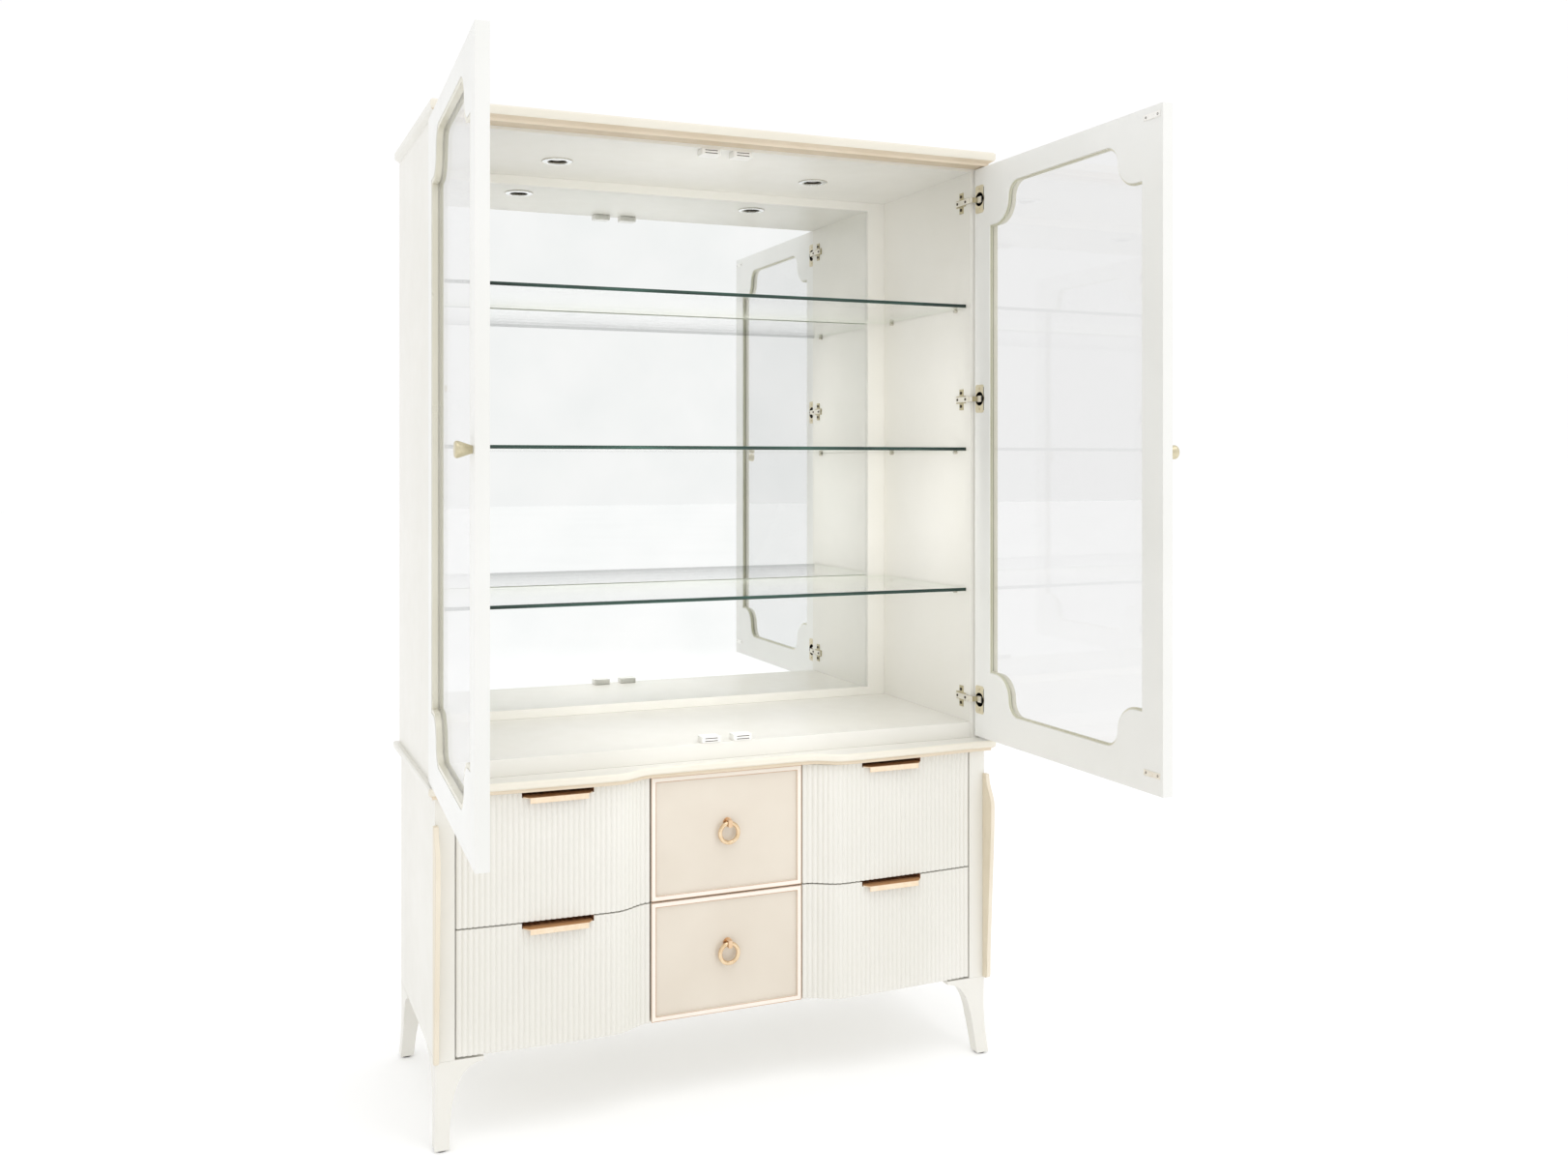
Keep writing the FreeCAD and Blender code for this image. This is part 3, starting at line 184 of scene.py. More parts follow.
def mouldedPlastic(name, low, high, rough):
    # Moulded ABS: an even tone with a spark-eroded grain of 0.4 mm, coarser than the real one so that it shows.
    material, place, surface = newFinish(name, {"Roughness": rough, "IOR": 1.53})
    grain = addNode(material, "ShaderNodeTexNoise", {"Scale": 2400.0, "Detail": 2.0}, [("Vector", place)])
    colour = addNode(material, "ShaderNodeValToRGB", {"stops": [(0.3, low), (0.7, high)]},
                     [("Fac", grain.outputs["Fac"])])
    wire(material, surface, "Base Color", colour.outputs["Color"])
    bump = addNode(material, "ShaderNodeBump", {"Strength": 0.15, "Distance": 0.0001},
                   [("Height", grain.outputs["Fac"])])
    wire(material, surface, "Normal", bump.outputs["Normal"])
    return material


def paneGlass(name, tint, sheen, rough, ripple):
    # Float glass: what is behind it shows straight through, with a cool sheen that grows towards a grazing
    # view and the faintest draw lines.
    material = bpy.data.materials.new(name)
    material.use_nodes = True
    material.node_tree.nodes.clear()
    place = addNode(material, "ShaderNodeTexCoord", {}).outputs["Object"]
    wave = addNode(material, "ShaderNodeTexNoise", {"Scale": 4.0, "Detail": 1.0}, [("Vector", place)])
    bump = addNode(material, "ShaderNodeBump", {"Strength": ripple, "Distance": 0.001},
                   [("Height", wave.outputs["Fac"])])
    clear = addNode(material, "ShaderNodeBsdfTransparent", {"Color": toLinear(tint)})
    shine = addNode(material, "ShaderNodeBsdfGlossy", {"Color": toLinear("#FFFFFF"), "Roughness": rough},
                    [("Normal", bump.outputs["Normal"])])
    facing = addNode(material, "ShaderNodeLayerWeight", {"Blend": 0.5}, [("Normal", bump.outputs["Normal"])])
    steep = addNode(material, "ShaderNodeMath", {"operation": "POWER", 1: 5.0}, [(0, facing.outputs["Facing"])])
    share = addNode(material, "ShaderNodeMath", {"operation": "MULTIPLY_ADD", 1: 1.0 - sheen, 2: sheen},
                    [(0, steep.outputs[0])])
    mix = addNode(material, "ShaderNodeMixShader", {},
                  [(0, share.outputs[0]), (1, clear.outputs[0]), (2, shine.outputs[0])])
    addNode(material, "ShaderNodeOutputMaterial", {}, [("Surface", mix.outputs[0])])
    return material


def glassEdge(name, low, mid, high):
    # Polished edge of float glass: light that ran through the sheet comes out green, in fine level bands.
    material, place, surface = newFinish(name, {"Roughness": 0.3, "IOR": 1.45})
    lie = addNode(material, "ShaderNodeMapping", {"Scale": (7.0, 7.0, 260.0)}, [("Vector", place)])
    bands = addNode(material, "ShaderNodeTexNoise", {"Scale": 1.0, "Detail": 2.0},
                    [("Vector", lie.outputs["Vector"])])
    colour = addNode(material, "ShaderNodeValToRGB", {"stops": [(0.3, low), (0.55, mid), (0.75, high)]},
                     [("Fac", bands.outputs["Fac"])])
    wire(material, surface, "Base Color", colour.outputs["Color"])
    return material


def silveredMirror(name, low, high):
    # Silvered float glass: a clean mirror with the faint green of the glass in front of the silver.
    material, place, surface = newFinish(name, {"Metallic": 1.0, "Roughness": 0.015})
    haze = addNode(material, "ShaderNodeTexNoise", {"Scale": 6.0, "Detail": 3.0}, [("Vector", place)])
    colour = addNode(material, "ShaderNodeValToRGB", {"stops": [(0.3, low), (0.7, high)]},
                     [("Fac", haze.outputs["Fac"])])
    wire(material, surface, "Base Color", colour.outputs["Color"])
    dull = addNode(material, "ShaderNodeValToRGB", {"stops": [(0.3, 0.008), (0.7, 0.022)]},
                   [("Fac", haze.outputs["Fac"])])
    wire(material, surface, "Roughness", dull.outputs["Color"])
    return material


# One finish for each material slot of the record.
finishes = {
    "lacquer": sprayedLacquer("pearlWhiteLacquer", "#E4E2DA", "#E9E7E0", 0.34, 0.10),
    "back_board": sprayedLacquer("whiteLacqueredBoard", "#E9E6DA", "#EEEBE0", 0.45, 0.15),
    "champagne": pearlPaint("champagneMicaLacquer", "#DED2BA", "#E6DBC5", 0.36, 0.12),
    "field": pearlPaint("champagneBeigeLacquer", "#E0D6C7", "#E6DDCF", 0.38, 0.08),
    "rose_gold": brushedMetal("brushedRoseGoldPlate", "#E2C09B", "#EBCDAC", 0.3, (90.0, 1600.0, 1600.0)),
    "gold_bead": sprayedLacquer("champagneGoldBead", "#D8D4C2", "#E3E0D1", 0.32, 0.05, 0.1),
    "nickel": brushedMetal("nickelPlate", "#C9C4B8", "#D8D4C9", 0.24, (500.0, 500.0, 500.0), 0.05),
    "steel": brushedMetal("zincPlatedSteel", "#B9BCBD", "#CBCDCC", 0.36, (1400.0, 60.0, 1400.0)),
    "glass": paneGlass("clearFloatGlass", "#F6F6F6", 0.045, 0.01, 0.02),
    "mirror": silveredMirror("silveredMirror", "#F0F2F1", "#F5F6F5"),
    "lens": mouldedPlastic("frostedLens", "#F2F2EE", "#FAFAF7", 0.2),
    "white_plastic": mouldedPlastic("mouldedWhitePlastic", "#EDECE7", "#F2F1ED", 0.35),
    "drawer_wood": sawnWood("sealedBirch", "#D3B88E", "#DEC79F", "#E8D5B2", 0.42),
    "glide": mouldedPlastic("mouldedGreyGlide", "#4A4845", "#55524E", 0.5),
}

# The shelves' front edge, looked into along the sheet: bottle green, nearly black.
shelfEdge = glassEdge("bottleGreenGlassEdge", "#12211C", "#1D352D", "#2C4A40")
# Their other edges, short and against white: a pale grey green.
paleEdge = glassEdge("paleGlassEdge", "#D3D8C9", "#DEE2D4", "#E8EADF")
# Low-iron sheet of the shelves: next to no tint.
shelfGlass = paneGlass("lowIronFloatGlass", "#FEFEFE", 0.045, 0.01, 0.02)
# The doors' lacquer is a touch cooler than the case's.
doorLacquer = sprayedLacquer("coolWhiteLacquer", "#E9E9E5", "#EEEEEB", 0.34, 0.08)
# Painted shade in the bead's groove: lacquer painted olive grey, so the step reads as a line.
grooveShade = sprayedLacquer("paintedShadeGroove", "#B4B59D", "#C3C3AE", 0.4, 0.05)
# Satin plate on the hinges' arms and links: near white and only softly metallic.
satinNickel = pearlPaint("satinNickelArm", "#E6E1D3", "#F1EDE2", 0.38, 0.35)
# Yellow passivated plate on the mounting plates: warm straw grey.
plateNickel = pearlPaint("yellowNickelPlate", "#BDB28E", "#CEC4A3", 0.34, 0.4)
# The hinge flanges are plated to go with the trims: pale champagne.
goldNickel = pearlPaint("champagneNickelFlange", "#D8CDAE", "#E6DDC3", 0.34, 0.4)
# The pulls' flat top in copper, darker than the lip: a painted reflection of the dark moulding and notch above it.
pullTopReflection = pearlPaint("paintedReflectionPullTop", "#D09A68", "#E0B183", 0.38, 0.25)
# Polished plate on the rings: bright, with sharp glints.
ringGold = brushedMetal("polishedRoseGold", "#E3C49B", "#F1DDBE", 0.16, (300.0, 300.0, 300.0), 0.04)
# Satin plate on the knobs: muted champagne.
knobGold = brushedMetal("satinChampagneGold", "#C9BFA0", "#D9D0B4", 0.3, (700.0, 700.0, 700.0), 0.06)
# Blackened screws and pole plates: dark, with soft glints.
darkSteel = brushedMetal("blackenedHingeSteel", "#4A443C", "#5A534A", 0.35, (500.0, 500.0, 500.0), 0.05)
# Painted shade down in the hinge cups and light wells: steel painted close to black.
cupShade = brushedMetal("paintedShadeInCups", "#2E2A25", "#3D3730", 0.45, (500.0, 500.0, 500.0), 0.05)
# Bright nickel on the strike plates: near white.
brightPlate = brushedMetal("brightNickelPlate", "#F1EFEA", "#F8F7F3", 0.28, (60.0, 1200.0, 1200.0), 0.05)
# Chromed bezels: a clean, hard highlight.
chromeRing = brushedMetal("polishedChrome", "#EDEEEE", "#F6F7F6", 0.14, (400.0, 400.0, 400.0), 0.02)
# Brushed plate on the pulls' front lip: the rose gold painted palest, a painted highlight where the lip faces the
# light.
pullLipHighlight = brushedMetal("highlightRoseGoldLip", "#EFD9BC", "#F6E6CE", 0.3, (90.0, 1600.0, 1600.0), 0.08)
# Fine lines of rose gilt round the centre drawers.
gildedLine = pearlPaint("roseGiltLine", "#C99F7E", "#D8B496", 0.32, 0.3)
# The fins' front edge is painted paler than their cheeks: a painted highlight.
finEdgeHighlight = pearlPaint("highlightChampagneEdge", "#E6DBC6", "#EEE5D3", 0.34, 0.1)
# Cream lacquer on the fronts of cornice and waist.
creamLacquer = sprayedLacquer("creamMouldingLacquer", "#E6E0D1", "#EBE6D9", 0.34, 0.08)
# A lighter cream on the strip that frames each centre drawer.
stripLacquer = sprayedLacquer("creamStripLacquer", "#F3EBDF", "#F8F2E8", 0.34, 0.08)
# Champagne mica on the line under each moulding.
champagneLine = pearlPaint("champagneMicaLine", "#DFCFB6", "#E8DAC4", 0.36, 0.12)
# Champagne under the cornice, painted a darker tan as painted shade.
undersideShade = pearlPaint("shadedChampagneUnderside", "#D6C3A6", "#E0CFB5", 0.4, 0.1)
# Painted shade in the notches behind the pulls: brown, with a close grain.
notchShade = sawnWood("paintedShadeNotch", "#8A5C3D", "#9C6C4A", "#AD7D5A", 0.5)
print("stage: finishes made")


# Working on pieces

weldGap = 0.01 * mm  # corners nearer than this are one
flatWithin = 1.0     # degrees within which neighbouring faces are one face


def pickOnly(piece):
    bpy.ops.object.select_all(action="DESELECT")
    piece.select_set(True)
    bpy.context.view_layer.objects.active = piece


def settle(piece, body, finish=None, angle=32, even=True):
    pickOnly(piece)
    bpy.ops.object.transform_apply(location=True, rotation=True, scale=True)
    bpy.ops.object.shade_smooth_by_angle(angle=math.radians(angle))
    if even:
        modify(piece, "WEIGHTED_NORMAL", keep_sharp=True)
    if finish is not None:
        piece.data.materials.clear()
        piece.data.materials.append(finish)
    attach(piece, body)
    return piece


def modify(piece, kind, **settings):
    pickOnly(piece)
    modifier = piece.modifiers.new(kind.title(), kind)
    for key, value in settings.items():
        setattr(modifier, key, value)
    bpy.ops.object.modifier_apply(modifier=modifier.name)


def weldedCopy(nodeName, pieceName):
    # a copy of a CAD node with its triangles joined up into whole faces
    piece = bpy.data.objects.new(pieceName, nodes[nodeName].data.copy())
    bpy.context.scene.collection.objects.link(piece)
    pickOnly(piece)
    bpy.ops.mesh.customdata_custom_splitnormals_clear()
    bpy.ops.object.mode_set(mode="EDIT")
    bpy.ops.mesh.select_all(action="SELECT")
    bpy.ops.mesh.remove_doubles(threshold=weldGap)
    bpy.ops.mesh.dissolve_limited(angle_limit=math.radians(flatWithin))
    bpy.ops.object.mode_set(mode="OBJECT")
    return piece


def eased(nodeName, width, segments=2, finish=None, angle=35, smooth=32):
    # stands in for a CAD node: the same shape with its edges rounded by a width in millimetres
    piece = weldedCopy(nodeName, nodeName + "_eased")
    if width:
        modify(piece, "BEVEL", width=width * mm, segments=segments, limit_method="ANGLE",
               angle_limit=math.radians(angle))
    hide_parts(nodeName)
    return settle(piece, bodyOf[nodeName], finish or finishes[slotOf[nodeName]], smooth)


def grabFaces(piece, wanted):
    # leaves the piece in edit mode with only the wanted faces selected
    pickOnly(piece)
    bpy.ops.object.mode_set(mode="EDIT")
    bpy.ops.mesh.select_mode(type="FACE")
    bpy.ops.mesh.select_all(action="DESELECT")
    bpy.ops.object.mode_set(mode="OBJECT")
    for face in piece.data.polygons:
        face.select = wanted(face.center / mm, face.normal)
    bpy.ops.object.mode_set(mode="EDIT")


def paintFaces(piece, finish, wanted):
    piece.data.materials.append(finish)
    for face in piece.data.polygons:
        if wanted(face.center / mm, face.normal):
            face.material_index = len(piece.data.materials) - 1


def gathered(made, name):
    bpy.ops.object.select_all(action="DESELECT")
    for piece in made:
        piece.select_set(True)
    bpy.context.view_layer.objects.active = made[0]
    if len(made) > 1:
        bpy.ops.object.join()
    made[0].name = name
    return made[0]


def copiesOf(master, name, spots, body, finish, size=1.0):
    # spots are a place in millimetres, the way it faces, and its turn about that way in degrees
    made = []
    for place, facing, turn in spots:
        piece = bpy.data.objects.new(name, master.data.copy())
        bpy.context.scene.collection.objects.link(piece)
        lay = Vector(facing).to_track_quat("Z", "Y").to_matrix().to_4x4()
        piece.matrix_world = (Matrix.Translation(Vector(place) * mm) @ lay
                              @ Matrix.Rotation(math.radians(turn), 4, "Z") @ Matrix.Scale(size, 4))
        made.append(piece)
    return settle(gathered(made, name), body, finish, even=False)


def pressedBlock(place, size, outer, insets, ease, segments=2):
    # a small block whose outer face is pressed in steps, each an inset's width and rise; all in millimetres
    bpy.ops.object.select_all(action="DESELECT")
    bpy.ops.mesh.primitive_cube_add(size=1.0, location=[value * mm for value in place])
    block = bpy.context.object
    block.scale = [value * mm for value in size]
    bpy.ops.object.transform_apply(location=True, rotation=True, scale=True)
    grabFaces(block, outer)
    for wide, rise in insets:
        bpy.ops.mesh.inset(thickness=wide * mm, depth=rise * mm)
    bpy.ops.object.mode_set(mode="OBJECT")
    modify(block, "BEVEL", width=ease * mm, segments=segments, limit_method="ANGLE")
    return block


def turned(name, profile, steps):
    # a turned piece round Z: the profile's points are (radius, height) in millimetres
    bpy.ops.object.select_all(action="DESELECT")
    bpy.ops.mesh.primitive_plane_add(size=mm, location=(0.0, 0.0, 0.0))
    piece = bpy.context.object
    piece.name = name
    bpy.ops.object.mode_set(mode="EDIT")
    bpy.ops.mesh.select_mode(type="VERT")
    bpy.ops.mesh.select_all(action="SELECT")
    bpy.ops.mesh.merge(type="CENTER")
    bpy.ops.mesh.select_all(action="SELECT")
    bpy.ops.transform.translate(value=(profile[0][0] * mm, 0.0, profile[0][1] * mm))
    for (oldRadius, oldHeight), (radius, height) in zip(profile, profile[1:]):
        bpy.ops.mesh.extrude_vertices_move(
            TRANSFORM_OT_translate={"value": ((radius - oldRadius) * mm, 0.0, (height - oldHeight) * mm)})
    bpy.ops.mesh.select_all(action="SELECT")
    bpy.ops.mesh.spin(steps=steps, angle=math.radians(360), center=(0.0, 0.0, 0.0), axis=(0.0, 0.0, 1.0))
    bpy.ops.mesh.select_all(action="SELECT")
    bpy.ops.mesh.remove_doubles(threshold=weldGap)
    bpy.ops.mesh.normals_make_consistent(inside=False)
    bpy.ops.object.mode_set(mode="OBJECT")
    return piece


# Boards of the case and hutch: sprayed edges are eased by about a millimetre.
boardEasing = {
    "hutch_left_side": 1.2, "hutch_right_side": 1.2, "hutch_bottom_panel": 1.0, "hutch_top_panel": 0.0,
    "hutch_back_panel": 0.6, "mirror_frame": 1.0, "base_left_side": 1.2, "base_right_side": 1.2,
    "base_face_stiles": 0.8, "base_bottom_panel": 0.8, "base_back_panel": 0.6, "base_partitions": 0.5,
    "case_runners": 0.6, "shelf_pins": 0.5, "front_legs": 2.0, "rear_legs": 2.0,
    "leg_glides": 0.8, "magnetic_catches": 1.5, "puck_light_housings": 0.5, "back_mirror": 0.0,
    "hinge_arms": 0.3, "ring_post_upper": 0.7, "ring_post_lower": 0.7,
    "left_door_frame": 1.4, "right_door_frame": 1.4, "left_door_glass": 0.0, "right_door_glass": 0.0,
    "pull_ring_upper": 0.0, "pull_ring_lower": 0.0,
}
boardFinish = {"left_door_frame": doorLacquer, "right_door_frame": doorLacquer, "hinge_arms": satinNickel,
               "pull_ring_upper": ringGold, "pull_ring_lower": ringGold}
boards = {nodeName: eased(nodeName, width, finish=boardFinish.get(nodeName))
          for nodeName, width in boardEasing.items()}
print("stage: boards eased,", len(boards))

# Fittings: how far their edges are eased, and where the mounting plates' own finish starts.
fittings = {"knobEase": 0.8, "finEase": 1.2, "shelfEase": 0.4, "cupEase": 0.4, "strikeEase": 0.4,
            "platesFrom": 624.4}
for nodeName in ("left_door_knob", "right_door_knob"):
    eased(nodeName, fittings["knobEase"], segments=3, finish=knobGold)
paintFaces(boards["hinge_arms"], plateNickel, lambda centre, normal: abs(centre.x) > fittings["platesFrom"])

# Corner fins: champagne on their cheeks, with a painted highlight on their front edge.
fins = eased("corner_pilasters", fittings["finEase"])
paintFaces(fins, finEdgeHighlight, lambda centre, normal: normal.y < -0.5)

# Cornice and waist: lacquered band above, champagne line below, and under the cornice champagne painted darker as
# painted shade.
moulding = {"corniceEase": 1.0, "waistEase": 0.7, "corniceLine": 2112.0, "waistLine": 727.0, "underside": 2103.0,
            "corniceLineBack": 100.0, "waistLineBack": 200.0}
cornice = eased("cornice_moulding", moulding["corniceEase"])
paintFaces(cornice, creamLacquer, lambda centre, normal: normal.y < -0.3)
paintFaces(cornice, champagneLine, lambda centre, normal: centre.z < moulding["corniceLine"]
           and centre.y < moulding["corniceLineBack"])
# the cornice's underside: painted shade
paintFaces(cornice, undersideShade, lambda centre, normal: normal.z < -0.95 and centre.z < moulding["underside"])
waist = eased("waist_moulding", moulding["waistEase"])
paintFaces(waist, creamLacquer, lambda centre, normal: normal.y < -0.3)
paintFaces(waist, champagneLine, lambda centre, normal: centre.z < moulding["waistLine"]
           and centre.y < moulding["waistLineBack"])
print("stage: mouldings painted")

# Glass shelves: clear through their faces, bottle green at the front edge and pale at the others.
for shelfName in ("glass_shelf_upper", "glass_shelf_middle", "glass_shelf_lower"):
    shelf = eased(shelfName, fittings["shelfEase"], finish=shelfGlass)
    paintFaces(shelf, paleEdge, lambda centre, normal: abs(normal.z) < 0.9)
    paintFaces(shelf, shelfEdge, lambda centre, normal: normal.y < -0.4)

# Drawer fronts: reeded at the sides with painted shade in the notch behind the pull, framed in the middle.
drawers = {"reedEase": 0.6, "boxEase": 0.8, "pullEase": 0.6, "frontEase": 0.9, "stripWide": 11.0,
           "lineWide": 1.1, "lineProud": 0.7, "lineEase": 0.25, "notchDeep": 10.0, "pullAt": 395.0,
           "pullReach": 85.0, "stripBack": 96.0}
rowsOfDrawers = {"upper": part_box("drawer_front_upper_left"), "lower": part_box("drawer_front_lower_left")}
for row, (low, high) in rowsOfDrawers.items():
    notchFloor = high.z / mm - drawers["notchDeep"]
    for side in ("left", "right"):
        tag = row + "_" + side
        front = eased("drawer_front_" + tag, drawers["reedEase"], angle=62, smooth=40)
        # the notch's floor and its end walls by the pull: painted shade
        paintFaces(front, notchShade, lambda centre, normal: normal.z > 0.9
                   and abs(centre.z - notchFloor) < 0.5)
        paintFaces(front, notchShade, lambda centre, normal: abs(normal.x) > 0.9 and centre.z > notchFloor
                   and abs(abs(centre.x) - drawers["pullAt"]) < drawers["pullReach"])
        pull = eased("edge_pull_" + tag, drawers["pullEase"], segments=3)
        # the front lip: painted highlight
        paintFaces(pull, pullLipHighlight, lambda centre, normal: normal.y < -0.5)
        # the top: painted reflection in darker copper
        paintFaces(pull, pullTopReflection, lambda centre, normal: normal.z > 0.8)
    for side in ("left", "centre", "right"):
        eased("drawer_box_" + row + "_" + side, drawers["boxEase"])
    front = eased("drawer_front_" + row + "_centre", drawers["frontEase"])
    paintFaces(front, stripLacquer, lambda centre, normal: normal.y < -0.3
               and centre.y < drawers["stripBack"])

    # thin gilded lines along both edges of the frame strip
    low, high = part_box("drawer_front_" + row + "_centre")
    lines = []
    for inward in (0.0, drawers["stripWide"] - drawers["lineWide"]):
        bpy.ops.object.select_all(action="DESELECT")
        bpy.ops.mesh.primitive_plane_add(size=1.0, rotation=(math.radians(90), 0.0, 0.0),
                                         location=((low.x + high.x) / 2, low.y, (low.z + high.z) / 2))
        line = bpy.context.object
        line.scale = (high.x - low.x - 2 * inward * mm, high.z - low.z - 2 * inward * mm, 1.0)
        bpy.ops.object.transform_apply(location=True, rotation=True, scale=True)
        grabFaces(line, lambda centre, normal: True)
        bpy.ops.mesh.inset(thickness=drawers["lineWide"] * mm)
        bpy.ops.mesh.delete(type="FACE")
        bpy.ops.mesh.select_all(action="SELECT")
        bpy.ops.mesh.extrude_region_move(
            TRANSFORM_OT_translate={"value": (0.0, -drawers["lineProud"] * mm, 0.0)})
        bpy.ops.mesh.select_all(action="SELECT")
        bpy.ops.mesh.normals_make_consistent(inside=False)
        bpy.ops.object.mode_set(mode="OBJECT")
        modify(line, "BEVEL", width=drawers["lineEase"] * mm, segments=2, limit_method="ANGLE")
        lines.append(line)
    settle(gathered(lines, "gilded_lines_" + row), row + "_centre_drawer", gildedLine)
print("stage: drawers done")

# Doors: the glazing bead's inner edge has a lip, a groove painted dark as painted shade, and a ridge.
beadSteps = {"lip": 1.2, "groove": 2.2, "deep": 1.6, "ridgeRise": 1.3, "wall": 0.01}
for side, inward in (("left", Vector((1.0, 0.0, 0.0))), ("right", Vector((-1.0, 0.0, 0.0)))):
    nodeName = side + "_glazing_bead"
    bead = weldedCopy(nodeName, nodeName + "_stepped")
    bead.data.materials.clear()
    bead.data.materials.append(finishes[slotOf[nodeName]])
    bead.data.materials.append(grooveShade)
    grabFaces(bead, lambda centre, normal: normal.dot(inward) > 0.9 and abs(normal.z) < 0.1)
    bpy.ops.mesh.inset(thickness=beadSteps["lip"] * mm, depth=0.0)
    bpy.ops.mesh.inset(thickness=beadSteps["wall"] * mm, depth=-beadSteps["deep"] * mm)
    # the groove's floor and walls take the painted shade
    bead.active_material_index = 1
    bpy.ops.object.material_slot_assign()
    bpy.ops.mesh.inset(thickness=beadSteps["groove"] * mm, depth=0.0)
    bpy.ops.mesh.inset(thickness=beadSteps["wall"] * mm, depth=beadSteps["ridgeRise"] * mm)
    bead.active_material_index = 0
    bpy.ops.object.material_slot_assign()
    bpy.ops.object.mode_set(mode="OBJECT")
    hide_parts(nodeName)
    settle(bead, side + "_door", None, 30)
print("stage: beads stepped")

# Places on a door as it stands open: along from its hinge edge, in from its inner face, and up.
door = {"edge": 653.5, "innerFace": 95.5, "pinEdge": 8.0, "pinInto": 9.0, "open": {"left": 93.0, "right": 91.0}}
signs = {"left": -1, "right": 1}


def onDoor(side, along, depth, height):
    # gives the place in millimetres and the way that the door's inner face looks
    sign = signs[side]
    pin = Vector((sign * (door["edge"] - door["pinEdge"]), door["innerFace"] - door["pinInto"], 0.0))
    shut = Vector((sign * (door["edge"] - along), door["innerFace"] - depth, height))
    swing = Matrix.Rotation(math.radians(sign * door["open"][side]), 3, "Z")
    return pin + swing @ (shut - pin), swing @ Vector((0.0, 1.0, 0.0))


# The window's inner edge steps down to the glass: two rings grown inwards from the bead's own outline.
# Each ring is the depth it starts at, the depth it ends at, and its width.
windowSteps = {"rings": ((2.2, 5.2, 2.2), (5.0, 8.0, 4.6)), "ease": 0.5}
for side, sign in signs.items():
    pin = Vector((sign * (door["edge"] - door["pinEdge"]), door["innerFace"] - door["pinInto"], 0.0)) * mm
    swing = (Matrix.Translation(pin) @ Matrix.Rotation(math.radians(sign * door["open"][side]), 4, "Z")
             @ Matrix.Translation(-pin))
    made = []
    for shallow, deep, wide in windowSteps["rings"]:
        ring = weldedCopy(side + "_glazing_bead", side + "_window_step")
        ring.matrix_world = swing.inverted()
        pickOnly(ring)
        bpy.ops.object.transform_apply(location=True, rotation=True, scale=True)
        spots = [vertex.co.copy() for vertex in ring.data.vertices]
        low = Vector([min(spot[axis] for spot in spots) for axis in range(3)]) / mm
        high = Vector([max(spot[axis] for spot in spots) for axis in range(3)]) / mm
        middle = (low + high) / 2
        grabFaces(ring, lambda centre, normal: abs(normal.y) > 0.5 or (centre - middle).dot(normal) > 0.0)
        bpy.ops.mesh.delete(type="FACE")
        bpy.ops.mesh.select_all(action="SELECT")
        bpy.ops.transform.resize(value=(1.0, (deep - shallow) / (high.y - low.y), 1.0),
                                 center_override=(0.0, middle.y * mm, 0.0))
        bpy.ops.transform.translate(
            value=(0.0, (door["innerFace"] - (shallow + deep) / 2 - middle.y) * mm, 0.0))
        bpy.ops.object.mode_set(mode="OBJECT")
        modify(ring, "SOLIDIFY", thickness=wide * mm, offset=1.0, use_even_offset=True)
        modify(ring, "BEVEL", width=windowSteps["ease"] * mm, segments=2, limit_method="ANGLE",
               angle_limit=math.radians(60))
        ring.matrix_world = swing
        made.append(ring)
    steps = settle(gathered(made, side + "_window_steps"), side + "_door",
                   finishes["gold_bead"], 40)
    # the steps' side walls are painted dark: painted shade
    paintFaces(steps, grooveShade, lambda centre, normal: abs(normal.x) < 0.6)
print("stage: window steps done")

# Screws: pan heads with a driver recess, modelled once and copied.
screw = {"headWide": 6.6, "headTall": 1.5, "sides": 16, "crown": 0.72, "crownRise": 0.35, "recessRim": 1.1,
         "recessWall": 0.15, "recessDeep": 0.9}
bpy.ops.object.select_all(action="DESELECT")
bpy.ops.mesh.primitive_cylinder_add(vertices=screw["sides"], radius=screw["headWide"] / 2 * mm,
                                    depth=screw["headTall"] * mm,
                                    location=(0.0, 0.0, screw["headTall"] / 2 * mm))
screwHead = bpy.context.object
bpy.ops.object.transform_apply(location=True, rotation=True, scale=True)
grabFaces(screwHead, lambda centre, normal: normal.z > 0.9)
bpy.ops.mesh.inset(thickness=(1.0 - screw["crown"]) * screw["headWide"] / 2 * mm,
                   depth=screw["crownRise"] * mm)
bpy.ops.mesh.inset(thickness=screw["recessRim"] * mm, depth=0.0)
bpy.ops.mesh.inset(thickness=screw["recessWall"] * mm, depth=-screw["recessDeep"] * mm)
bpy.ops.object.mode_set(mode="OBJECT")
